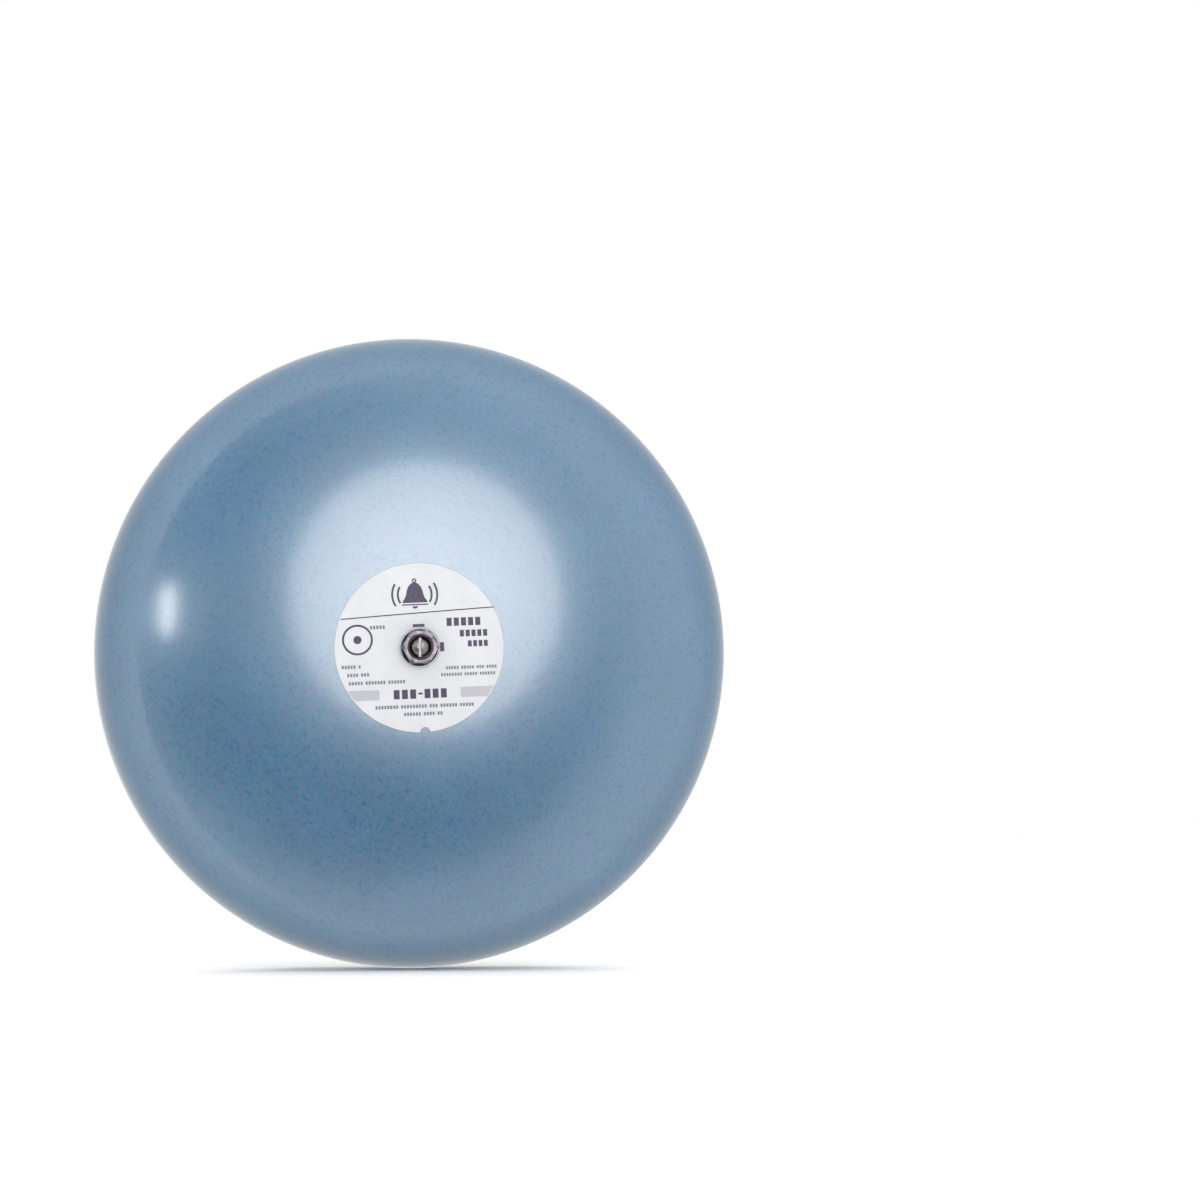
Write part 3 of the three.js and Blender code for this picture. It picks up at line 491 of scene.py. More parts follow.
def turned(name, profile, centre, axis="Y", segments=64, steps=4):
    """A closed profile of (radius, position along[, rounding]) turned about a line along Y or Z."""
    loops = []
    for radius, along in rounded(profile, steps):
        ring = circle(radius, *centre, segments if radius > ON_AXIS else 1)
        loops.append([(a, along, b) if axis == "Y" else (a, b, along) for a, b in ring])
    return lofted(name, loops)


def lofted(name, loops, closed=True):
    """An object whose skin runs through loops of points in turn; a loop of one point lies on the axis.

    A closed row of loops runs on from the last to the first; an open one gets flat ends."""
    vertices, rings = [], []
    for loop in loops:
        rings.append(range(len(vertices), len(vertices) + len(loop)))
        vertices += loop
    sides = max(len(ring) for ring in rings)
    faces = [] if closed else [rings[0][::-1], rings[-1]]
    following = rings[1:] + (rings[:1] if closed else [])
    for first, second in zip(rings, following):
        for j in range(sides):
            k = (j + 1) % sides
            quad = [ring[i % len(ring)] for ring, i in ((first, j), (first, k), (second, k), (second, j))]
            quad = list(dict.fromkeys(quad))
            if len(quad) > 2:
                faces.append(quad)
    return made(name, vertices, faces)


AXES = {
    "Y": Matrix(((1, 0, 0, 0), (0, 0, -1, 0), (0, 1, 0, 0), (0, 0, 0, 1))),  # outline in X and Z
    "Z": Matrix.Identity(4),  # outline in X and Y
    "X": Matrix(((0, 0, 1, 0), (1, 0, 0, 0), (0, 1, 0, 0), (0, 0, 0, 1))),  # outline in Y and Z
}


def slab(name, loops, low, high, edge=0.3, axis="Y", steps=2):
    """An outline and its holes, extruded along an axis with rounded edges."""
    curve = bpy.data.curves.new(name, "CURVE")
    curve.dimensions = "2D"
    curve.fill_mode = "BOTH"
    curve.extrude = ((high - low) / 2 - edge) * MM
    curve.bevel_depth = edge * MM
    curve.bevel_resolution = steps
    curve.offset = -edge * MM
    for loop in loops:
        spline = curve.splines.new("POLY")
        spline.points.add(len(loop) - 1)
        for target, (a, b) in zip(spline.points, loop):
            target.co = (a * MM, b * MM, 0, 1)
        spline.use_cyclic_u = True
    flat = placed(name, curve)
    mesh = evaluated(flat)
    bpy.data.objects.remove(flat)
    mesh.transform(AXES[axis])
    shift = Vector([(low + high) / 2 * (letter == axis) for letter in "XYZ"])
    mesh.transform(Matrix.Translation(shift * MM))
    mesh.materials.clear()
    return mended(placed(name, mesh))


def block(name, low, high, edge=0.3):
    """A box from two corners with rounded edges."""
    size = Vector(high) - Vector(low)
    middle = (Vector(high) + Vector(low)) / 2
    mesh = bpy.data.meshes.new(name)
    with edited(mesh) as bm:
        bmesh.ops.create_cube(bm, size=1)
        for vertex in bm.verts:
            vertex.co = Vector([c * s + m for c, s, m in zip(vertex.co, size, middle)]) * MM
        if edge > 0:
            bmesh.ops.bevel(
                bm, geom=bm.edges[:], offset=edge * MM, segments=2, profile=0.5, affect="EDGES"
            )
    return placed(name, mesh)


def rod(radius, centre, low, high, axis="Y", segments=48):
    """A plain round bar, used as a cutter or joined into a piece."""
    return turned("rod", [(0, low), (radius, low), (radius, high), (0, high)], centre, axis, segments)


def spun(obj, quarter_turns):
    """Turns a made object about the Y axis by quarter turns."""
    obj.data.transform(Matrix.Rotation(quarter_turns * PI / 2, 4, "Y"))
    return obj


def tube(name, points, radius, sides=12):
    """A closed mesh tube along points in millimetres, with flat ends."""
    points = [Vector(p) for p in points]
    side = (points[1] - points[0]).orthogonal().normalized()
    loops = []
    for i, point in enumerate(points):
        ahead = (points[min(i + 1, len(points) - 1)] - points[max(i - 1, 0)]).normalized()
        side = (side - side.dot(ahead) * ahead).normalized()
        other = ahead.cross(side)
        loops.append([point + a * side + b * other for a, b in circle(radius, segments=sides)])
    return lofted(name, loops, closed=False)


def threaded(name, radius, pitch, depth, centre, low, high, segments=32):
    """A bar along Y with a screw thread, tapered to its root at both ends."""
    rows_per_turn = 8
    rows = round((high - low) / pitch * rows_per_turn)
    loops = [[(centre[0], low, centre[1])]]
    for i in range(rows + 1):
        y = low + (high - low) * i / rows
        end = min(1, i / rows_per_turn, (rows - i) / rows_per_turn)
        loop = []
        for j, (a, b) in enumerate(circle(1, segments=segments)):
            phase = (y / pitch + j / segments) % 1
            crest = 1 - abs(2 * phase - 1)
            r = radius - depth * (1 - crest * end)
            loop.append((centre[0] + r * a, y, centre[1] + r * b))
        loops.append(loop)
    return lofted(name, [*loops, [(centre[0], high, centre[1])]])


def circle(radius, a=0, b=0, segments=64):
    """Points round a circle about (a, b)."""
    return [
        (a + radius * math.cos(2 * PI * i / segments), b + radius * math.sin(2 * PI * i / segments))
        for i in range(segments)
    ]


def stadium(start, end, width, steps=10):
    """A slot outline with round ends between two points."""
    (x0, z0), (x1, z1) = start, end
    angle = math.atan2(z1 - z0, x1 - x0)
    outline = []
    for (x, z), base in (((x1, z1), angle - PI / 2), ((x0, z0), angle + PI / 2)):
        for i in range(steps + 1):
            turn = base + PI * i / steps
            outline.append((x + width / 2 * math.cos(turn), z + width / 2 * math.sin(turn)))
    return outline


def square(half, corner, steps=8):
    """A square outline with rounded corners."""
    return rounded([(x * half, z * half, corner) for x, z in DIAGONALS], steps)


def piece(obj, node, own_slot=None, crease=35, finish=None):
    """Gives a made object the body and slot of the CAD node that it stands for.

    An object with a slot of its own only rides with the node, and doesn't replace it."""
    slot = own_slot or slot_of[node]
    obj.data.materials.clear()
    obj.data.materials.append(finish or FINISHES[slot])
    if obj.type == "MESH":
        obj.data.shade_smooth()
        obj.data.set_sharp_from_angle(angle=math.radians(crease))
        weighted = obj.modifiers.new("shading", "WEIGHTED_NORMAL")
        weighted.keep_sharp = True
        applied(obj)
    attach(obj, body_of[node])
    if not own_slot:
        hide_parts(node)


# ---- flying leads
# Listed starts: out of the grommet, over the rib and the lip, to the side of the base.
LEAD_STARTS = {
    "upper": [
        (35, -5, 0.7), (35, -1.8, 0.7), (35.3, 0.8, 0.6), (36.4, 3.2, 0.4), (38.5, 4.9, 0.1),
        (41.3, 5.6, -0.2), (45, 5.4, -0.7), (49.2, 4.5, -1.6), (53, 3.5, -2.8), (56.4, 2.4, -4.3),
        (59.4, 1.2, -6.2), (62, 0, -8.6), (63.9, -1.1, -12),
    ],
    "lower": [
        (35, -5, -2.7), (35, -1.8, -2.7), (35.3, 0.8, -2.8), (36.4, 3.2, -3), (38.6, 4.9, -3.4),
        (41.4, 5.5, -3.9), (45.1, 5, -4.8), (49.2, 3.8, -6), (53, 2.2, -7.2), (56.6, 0.4, -8.5),
        (59.9, -1.7, -10), (62.4, -3.4, -11.7),
    ],
}
LEAD_SPACING = 3.1
TURN_REAR_Y = {"upper": -1.8, "lower": -1.8 - LEAD_SPACING}
TURN_X, TURN_Z = 78.8, -16  # middle of the one round turn
TURN_RADIUS = 14
TURN_STEPS = 12
LEAD_TAIL = 7
STRIPPED_LENGTH = 8


def lead_route(name):
    """The start, one turn begun and ended on its left side, and a tail that hangs below the tie."""
    turn = []
    for i in range(TURN_STEPS + 1):
        part = i / TURN_STEPS
        angle = PI + 2 * PI * part
        turn.append((
            TURN_X + TURN_RADIUS * math.cos(angle),
            TURN_REAR_Y[name] - 2 * LEAD_SPACING * part,
            TURN_Z + TURN_RADIUS * math.sin(angle),
        ))
    x, y, z = turn[-1]
    return [*LEAD_STARTS[name], *turn, (x, y, z - LEAD_TAIL / 2), (x, y, z - LEAD_TAIL)]


def smooth_route(points, steps=8):
    """Points along a centripetal Catmull-Rom curve through the given ones."""
    points = [Vector(p) for p in points]
    points = [2 * points[0] - points[1], *points, 2 * points[-1] - points[-2]]
    line = []
    for p0, p1, p2, p3 in zip(points, points[1:], points[2:], points[3:]):
        d0, d1, d2 = (math.sqrt((b - a).length) for a, b in ((p0, p1), (p1, p2), (p2, p3)))
        start = ((p1 - p0) / d0 - (p2 - p0) / (d0 + d1) + (p2 - p1) / d1) * d1
        end = ((p2 - p1) / d1 - (p3 - p1) / (d1 + d2) + (p3 - p2) / d2) * d1
        for i in range(steps):
            t = i / steps
            line.append(
                (2 * t**3 - 3 * t**2 + 1) * p1 + (t**3 - 2 * t**2 + t) * start
                + (3 * t**2 - 2 * t**3) * p2 + (t**3 - t**2) * end
            )
    return [*line, points[-2]]


def curve_tube(name, lines, radius):
    """A curve object with a round section along each line of points, in millimetres."""
    data = bpy.data.curves.new(name, "CURVE")
    data.dimensions = "3D"
    data.bevel_depth = radius * MM
    data.bevel_resolution = 5
    data.use_fill_caps = True
    for line in lines:
        spline = data.splines.new("POLY")
        spline.points.add(len(line) - 1)
        for target, point in zip(spline.points, line):
            target.co = (*(Vector(point) * MM), 1)
    return placed(name, data)


def stripped_end(name, start):
    """Seven twisted copper strands hanging from a lead's end."""
    strand = 0.23
    lay = 2 * strand
    lines = []
    steps = 24
    for k in range(7):
        line = []
        for i in range(steps + 1):
            z = start[2] - 0.1 - (STRIPPED_LENGTH + 0.2) * i / steps
            reach = 0 if k == 6 else lay
            angle = 2 * PI * (k / 6 + 0.8 * i / steps)
            line.append((start[0] + reach * math.cos(angle), start[1] + reach * math.sin(angle), z))
        lines.append(line)
    return merged(name, [tube("strand", line, strand, 10) for line in lines])


def make_leads():
    for name in LEAD_STARTS:
        route = lead_route(name)
        line = smooth_route(route)
        lead = curve_tube(f"flying_lead_{name}", [line], LEAD_RADIUS)
        piece(lead, f"lead_{name}")
        strands = stripped_end(f"strands_{name}", route[-1])
        piece(strands, f"lead_end_{name}")


make_leads()


def make_lead_tie():
    """A thin strap with rounded corners round the four strands, and its ratchet lock behind."""
    low, high = corners("lead_tie")
    overhang = 0.5  # of the lock past the strap
    wall = 1
    rear = TURN_REAR_Y["upper"] + LEAD_RADIUS + 2 * GAP + wall

    def loop(inset, corner):
        x0, x1, y0, y1 = low.x + inset, high.x - inset, low.y + inset, rear - inset
        return rounded([(x0, y0, corner), (x1, y0, corner), (x1, y1, corner), (x0, y1, corner)], 6)

    loops = [loop(0, 2.2), loop(wall, 1.4)]
    band = slab("cable_tie", loops, low.z + overhang, high.z - overhang, 0.25, "Z")
    middle = (low.x + high.x) / 2
    lock = block("lock", (middle - 1.9, rear - 0.5, low.z), (middle + 1.9, high.y, high.z), 0.45)
    mouth_low = (middle - 1.1, rear + 0.3, low.z - 2)
    mouth = block("mouth", mouth_low, (middle + 1.1, high.y - 0.4, high.z + 2), 0)
    combined(band, [lock], "UNION")
    piece(combined(band, [mouth]), "lead_tie")


make_lead_tie()

# ---- gong
skirt_end = Vector((
    GONG_RADIUS - GONG_SKIRT * math.sin(GONG_DRAFT),
    RIM_Y - GONG_SKIRT * math.cos(GONG_DRAFT),
))
shoulder_centre = Vector((
    skirt_end.x - GONG_SHOULDER * math.cos(GONG_DRAFT),
    skirt_end.y + GONG_SHOULDER * math.sin(GONG_DRAFT),
))
shoulder_depth = shoulder_centre.y - APEX_Y
dome_radius = (shoulder_centre.x**2 + shoulder_depth**2 - GONG_SHOULDER**2) / (
    2 * (shoulder_depth - GONG_SHOULDER)
)
dome_centre_y = APEX_Y + dome_radius
dome_angle = math.asin(shoulder_centre.x / (dome_radius - GONG_SHOULDER))


def dome_y(x, z, lift=0.0):
    """The y of the dome's outside, lifted outwards, at x and z from the gong's axis."""
    return dome_centre_y - math.sqrt((dome_radius + lift) ** 2 - x * x - z * z)


def gong_outline(inset):
    """(radius, y) from the hub hole to just before the rim, moved inwards by inset."""
    sphere = dome_radius - inset
    start = math.asin(GONG_HOLE / sphere)
    dome_steps, shoulder_steps = 40, 28
    points = []
    for i in range(dome_steps):
        angle = start + (dome_angle - start) * i / dome_steps
        points.append((sphere * math.sin(angle), dome_centre_y - sphere * math.cos(angle)))
    arc = GONG_SHOULDER - inset
    for i in range(shoulder_steps + 1):
        angle = dome_angle + (PI / 2 - GONG_DRAFT - dome_angle) * i / shoulder_steps
        out, forward = arc * math.sin(angle), arc * math.cos(angle)
        points.append((shoulder_centre.x + out, shoulder_centre.y - forward))
    return points


def make_gong():
    outside, inside = gong_outline(0), gong_outline(GONG_SHEET)
    outside[0] += (0.5,)
    inside[0] += (0.5,)
    rim = [(GONG_RADIUS, RIM_Y, 0.8), (GONG_RADIUS - GONG_SHEET, RIM_Y, 0.8)]
    profile = outside + rim + inside[::-1]
    shell = turned("gong_shell", profile, (0, GONG_Z), segments=256)
    piece(shell, "gong", crease=60)


make_gong()

# ---- label and its print


def label_point(x, z, lift):
    """A point given on the label's own right and up, as a point on the dome in the row frame."""
    a = x * math.cos(LABEL_TURN) - z * math.sin(LABEL_TURN)
    b = x * math.sin(LABEL_TURN) + z * math.cos(LABEL_TURN)
    return (a, dome_y(a, b, lift), GONG_Z + b)


def make_label():
    rings = 16
    front, rear = LABEL_LIFT + LABEL_SHEET, LABEL_LIFT
    radii = [LABEL_HOLE + (LABEL_RADIUS - LABEL_HOLE) * i / rings for i in range(rings + 1)]
    outside = [(r, dome_y(r, 0, front)) for r in radii]
    inside = [(r, dome_y(r, 0, rear)) for r in radii]
    outside[0] += (0.1,)
    outside[-1] += (0.1,)
    disc = turned("label_disc", outside + inside[::-1], (0, GONG_Z), segments=192)
    near, far = APEX_Y - 4, APEX_Y + 8

    def turned_outline(points):
        return [(p[0], p[2]) for p in (label_point(x, z, 0) for x, z in points)]

    notch = slab("notch", [turned_outline(circle(2, 1, -LABEL_RADIUS, 32))], near, far, 0.001, steps=0)
    piece(combined(disc, [notch]), "gong_label")


make_label()

INK_LIFT = LABEL_LIFT + LABEL_SHEET + 0.015
INK_SHEET = 0.03


class Print:
    """Thin ink shapes laid on the label, drawn in the label's own right and up."""

    def __init__(self):
        self.vertices, self.faces = [], []

    def grid(self, rows):
        """A patch from rows of (x, z) points."""
        start = len(self.vertices)
        across = len(rows[0])
        for row in rows:
            self.vertices += [label_point(x, z, INK_LIFT) for x, z in row]
        for i in range(len(rows) - 1):
            for j in range(across - 1):
                a = start + i * across + j
                self.faces.append((a, a + 1, a + across + 1, a + across))

    def bar(self, x0, x1, z0, z1, step=2.0):
        across = max(1, math.ceil((x1 - x0) / step))
        up = max(1, math.ceil((z1 - z0) / step))
        self.grid([
            [(x0 + (x1 - x0) * j / across, z0 + (z1 - z0) * i / up) for j in range(across + 1)]
            for i in range(up + 1)
        ])

    def arc(self, x, z, radius, width, start, end, steps):
        """Part of a ring; angles in degrees, counter-clockwise from the right."""
        rows = []
        for i in range(steps + 1):
            angle = math.radians(start + (end - start) * i / steps)
            rows.append([
                (x + r * math.cos(angle), z + r * math.sin(angle)) for r in (radius - width, radius)
            ])
        self.grid(rows)

    def shape(self, x, levels, across=6):
        """A shape that is even about x, from (z, half width) levels."""
        self.grid([[(x + half * (2 * j / across - 1), z) for j in range(across + 1)] for z, half in levels])

    def blocks(self, x0, x1, z, height, seed):
        """A row of plain upright blocks in groups, standing for a line of small print."""
        chance = random.Random(seed)
        width, gap = height * 0.62, height * 0.26
        x, group = x0, chance.randint(4, 8)
        while x + width <= x1:
            self.bar(x, x + width, z - height / 2, z + height / 2)
            x += width + gap
            group -= 1
            if group == 0:
                group = chance.randint(3, 9)
                x += width
        return self

    def made(self, name):
        obj = made(name, self.vertices, self.faces)
        solid = obj.modifiers.new("ink", "SOLIDIFY")
        solid.thickness = INK_SHEET * MM
        solid.offset = 0
        return applied(obj)


def edge_bar(outline_x, z_low, z_high, side):
    """Rows of points of a bar from outline_x out to the label's edge on one side."""
    rows = []
    for i in range(5):
        z = z_low + (z_high - z_low) * i / 4
        edge = side * (math.sqrt(LABEL_RADIUS**2 - z * z) - 0.5)
        rows.append([(outline_x + (edge - outline_x) * j / 6, z) for j in range(7)])
    return rows


def make_print():
    ink = Print()
    # a plain bell sign between two pairs of sound arcs
    ink.shape(-1, [
        (17.6, 4.9), (18.4, 4.7), (19.4, 3.9), (20.8, 3.4), (22.4, 3.1), (23.8, 2.5), (24.8, 1.7),
        (25.5, 0.7),
    ])
    ink.shape(-1, [(16.6, 5.1), (17.1, 5.1)])
    ink.shape(-1, [(15.3, 0.2), (15.6, 0.9), (16.2, 1.1)])
    ink.arc(-1, 26.3, 0.9, 0.5, 0, 360, 18)
    for side, facing in ((1, 0), (-1, 180)):
        for radius in (6.4, 8.6):
            ink.arc(-1 + side * 0.6, 20.8, radius, 0.8, facing - 32, facing + 32, 12)
    # a plain ring with a dot
    ink.arc(-24, 3.9, 6, 0.8, 0, 360, 48)
    ink.arc(-24, 3.9, 1.6, 1.55, 0, 360, 24)
    # a slanting rule from edge to edge
    rule = [(-30.2 + 60.2 * j / 30, 12.2 + 2.7 * j / 30) for j in range(31)]
    ink.grid([[(x, z + up) for x, z in rule] for up in (-0.22, 0.22)])
    # marks against the hub, above it and to its right
    ink.bar(-2.3, 2.3, 8.1, 9.2)
    ink.bar(8, 9.6, -1.8, 1.8)
    # bold blocks
    ink.blocks(11, 27, 9.6, 3.2, 0)
    ink.blocks(16, 29.3, 5, 2.6, 1)
    ink.blocks(19, 28.6, 0.9, 2.4, 2)
    for x in (-9.6, -6.4, -3.2, 2.4, 5.6, 8.8):
        ink.bar(x - 1.15, x + 1.15, -19.8, -16.2)
    ink.bar(-1.1, 0.5, -18.3, -17.5)
    piece(ink.made("label_print"), "gong_label", "label_ink")

    # rows of small blocks: (from, to, middle height, block height)
    small = Print()
    rows = [
        (-19, -12, 8.5, 1.4), (-30.5, -22.7, -6.6, 1.3), (-28.5, -19, -9.8, 1.3), (-28, -5, -13, 1.3),
        (10, 30, -8.3, 1.2), (8, 29.4, -10.9, 1.2), (-18, 20.5, -22.8, 1.3), (-7, 9, -25.8, 1.3),
    ]
    for seed, (x0, x1, z, height) in enumerate(rows):
        small.blocks(x0, x1, z, height, seed)
    piece(small.made("label_small_print"), "gong_label", "label_ink", finish=SMALL_PRINT_INK)

    shade = Print()
    shade.grid(edge_bar(-16.3, -19.9, -15.9, -1))
    shade.grid(edge_bar(15.4, -19.9, -15.9, 1))
    piece(shade.made("label_tint_bars"), "gong_label", "label_ink", finish=TINT_INK)


make_print()

# ---- hub: stud, washers and nuts
stud_low, stud_high = corners("gong_stud")
NUT_FLATS = 12.7
STUD_NUT_FLATS = 8.7
STUD_THREAD = 3.95  # radii of the stud's nose, tail and collar
STUD_TAIL = 2.4
COLLAR_RADIUS = 8
COLLAR_FRONT_Y = -58.3
COLLAR_REAR_Y = -52.3
STUD_END_RADIUS = 7.4  # of the dome on the stud's end
STUD_SLOT_HALF = 0.55
WASHER_RADIUS = 7.2
SEAT_RADIUS = 9
HUB = (0, GONG_Z)


def make_washer(name, node, outer, edge, finish=None):
    low, high = corners(node)
    inner = STUD_THREAD + GAP
    profile = [(inner, low.y, edge), (outer, low.y, edge), (outer, high.y, edge), (inner, high.y, edge)]
    piece(turned(name, profile, HUB, segments=72, steps=3), node, finish=finish)


def make_nut(name, node, flats, bore, mouth, front_crown):
    """A hexagon nut on the hub axis with chamfered corners and a chamfered mouth."""
    low, high = (corner.y for corner in corners(node))
    reach = flats / math.sqrt(3)
    hexagon = rounded([
        (reach * math.cos(PI / 3 * i), GONG_Z + reach * math.sin(PI / 3 * i), 0.5) for i in range(6)
    ], 3)
    body = slab(name, [hexagon], low, high, 0.15)
    wide = flats / 2 + 1.6
    crown = turned("crown", [
        (0, low), (flats / 2 + 0.2, low), (wide, low + front_crown),
        (wide, high - 0.5), (flats / 2, high), (0, high),
    ], HUB, segments=96)
    hole = turned("hole", [
        (0, low - 1), (bore + mouth + 1, low - 1), (bore, low + mouth), (bore, high - 0.5),
        (bore + 1.5, high + 1), (0, high + 1),
    ], HUB, segments=64)
    combined(body, [crown], "INTERSECT")
    piece(combined(body, [hole]), node)


def make_stud():
    """A collar with a slotted, domed and threaded nose in front and a thin threaded tail behind."""
    collar = turned("threaded_stud", [
        (0, COLLAR_FRONT_Y), (COLLAR_RADIUS, COLLAR_FRONT_Y, 0.5),
        (COLLAR_RADIUS, COLLAR_REAR_Y, 0.5), (0, COLLAR_REAR_Y),
    ], HUB, segments=72)
    front = stud_low.y
    nose = threaded("nose", STUD_THREAD, 1.411, 0.45, HUB, front + 1.0, COLLAR_FRONT_Y + 1)
    dome = [
        (r, front + STUD_END_RADIUS - math.sqrt(STUD_END_RADIUS**2 - r**2))
        for r in (0, 0.7, 1.4, 2.1, 2.8, 3.4)
    ]
    face = turned("face", [*dome, (STUD_THREAD - 0.1, front + 1.6), (0, front + 2.2)], HUB)
    tail = threaded("tail", STUD_TAIL, 0.794, 0.3, HUB, COLLAR_REAR_Y - 1, stud_high.y)
    combined(collar, [nose, face, tail], "UNION")
    slot_end = (STUD_SLOT_HALF, front + 2.2, GONG_Z + 6)
    slot = block("slot", (-STUD_SLOT_HALF, front - 2, GONG_Z - 6), slot_end, 0)
    piece(combined(collar, [slot]), "gong_stud", finish=DULL_ZINC)


# the front washer is dark zinc, blackened further as painted shade round the hub nut
make_washer("front_washer", "hub_washer", WASHER_RADIUS, 0.3, WASHER_SHADE_ZINC)
make_nut("front_nut", "hub_nut", NUT_FLATS, STUD_THREAD + GAP, 0.9, 0.9)
make_nut("tail_nut", "stud_nut", STUD_NUT_FLATS, STUD_TAIL + GAP, 0.3, 0.5)
make_stud()
make_washer("fibre_washer", "seat_washer", SEAT_RADIUS, 0.2)

# ---- support bracket and its screws
BRACKET_SHEET = 2
BRACKET_BEND = 1.5
BRACKET_SCREW_X = 9
BRACKET_SCREW_Y = -24
BRACKET_REAR_Y = -50  # of its upright plate
bracket_low, bracket_high = corners("support_bracket")


def cross_recess(x, y, top):
    """Cutters for a cross recess in a head that faces +Z."""
    half, reach, depth = 0.45, 1.7, 1.5
    return [
        block("recess", (x - a, y - b, top - depth), (x + a, y + b, top + 1), 0.1)
        for a, b in ((reach, half), (half, reach))
    ]


def make_bracket():
    foot_z = bracket_low.z
    top_z = bracket_high.z
    rear = bracket_high.y  # end of the foot
    plate_rear = BRACKET_REAR_Y
    plate_front = plate_rear - BRACKET_SHEET
    lip_y = bracket_low.y
    outer = BRACKET_BEND + BRACKET_SHEET
    side = rounded([
        (rear, foot_z), (plate_front, foot_z, outer), (plate_front, top_z - BRACKET_SHEET, BRACKET_BEND),
        (lip_y, top_z - BRACKET_SHEET), (lip_y, top_z), (plate_rear, top_z, outer),
        (plate_rear, foot_z + BRACKET_SHEET, BRACKET_BEND), (rear, foot_z + BRACKET_SHEET),
    ], 8)
    plate = slab("angle_bracket", [side], bracket_low.x, bracket_high.x, 0.3, "X")
    holes = [
        rod(STUD_TAIL + GAP, (0, GONG_Z), plate_front - 1, plate_rear + 1),
        rod(1.5, (0, GONG_Z + 10.4), plate_front - 1, plate_rear + 1),
        rod(1.5, (9.8, GONG_Z + 0.6), plate_front - 1, plate_rear + 1),
        *(rod(2.4, (x, BRACKET_SCREW_Y), foot_z - 1, foot_z + BRACKET_SHEET + 1, "Z")
          for x in (BRACKET_SCREW_X, -BRACKET_SCREW_X)),
    ]
    piece(combined(plate, holes), "support_bracket")

    for name, x in (("right", BRACKET_SCREW_X), ("left", -BRACKET_SCREW_X)):
        node = f"bracket_screw_{name}"
        low, high = corners(node)
        seat = high.z - 2.4
        screw = turned(f"pan_screw_{name}", [
            (0, low.z), (1.9, low.z, 0.3), (1.9, seat), (3.9, seat, 0.2), (3.9, seat + 1.2, 0.8),
            (2.4, high.z, 1.2), (0, high.z),
        ], (x, BRACKET_SCREW_Y), "Z")
        piece(combined(screw, cross_recess(x, BRACKET_SCREW_Y, high.z)), node)


make_bracket()

# ---- base housing


def square_ring(half, core, steps):
    """A loop of a square of the given half width; core is how far out its corner arcs are centred."""
    corner = half - core
    loop = []
    for quarter, (sx, sz) in enumerate(DIAGONALS):
        for i in range(steps + 1):
            angle = (quarter + i / steps) * PI / 2
            loop.append((sx * core + corner * math.cos(angle), sz * core + corner * math.sin(angle)))
    return loop


def square_lathe(name, profile, steps=18):
    """Like turned(), with (half width, y, core, edge rounding) profile points.

    Each point runs round a rounded square or, where core is 0, a circle."""
    loops = []
    for i, (half, y, core, edge) in enumerate(profile):
        before, after = profile[i - 1], profile[(i + 1) % len(profile)]
        neighbours = [before[:2], (half, y, edge), after[:2]]
        for a, b in rounded(neighbours, 3)[1:-1] if edge else [(half, y)]:
            ring = square_ring(a, core, steps) if a > ON_AXIS else [(0, 0)]
            loops.append([(x, b, z) for x, z in ring])
    return lofted(name, loops)


FRAME_POSTS = ((27, 24), (-27, 24), (27, -4), (-27, -4))
FLANGE_CORE = 50.5  # how far out the corner arcs of each square are centred
GROOVE_CORE = 49.9
RIB_OUTER_CORE = 48.2
RIB_INNER_CORE = 47.2
SLOT_LENGTH = 9
SLOT_WIDTH = 4.5
PLATE_SCREW = (41, 22)


def diagonal_slot(sx, sz, spare=0):
    """The outline of a mounting slot, which points to the middle of the base."""
    half = (SLOT_LENGTH - SLOT_WIDTH) / 2 / math.sqrt(2)
    low, high = SLOT_PITCH / 2 - half, SLOT_PITCH / 2 + half
    return stadium((sx * low, sz * low), (sx * high, sz * high), SLOT_WIDTH + 2 * spare)


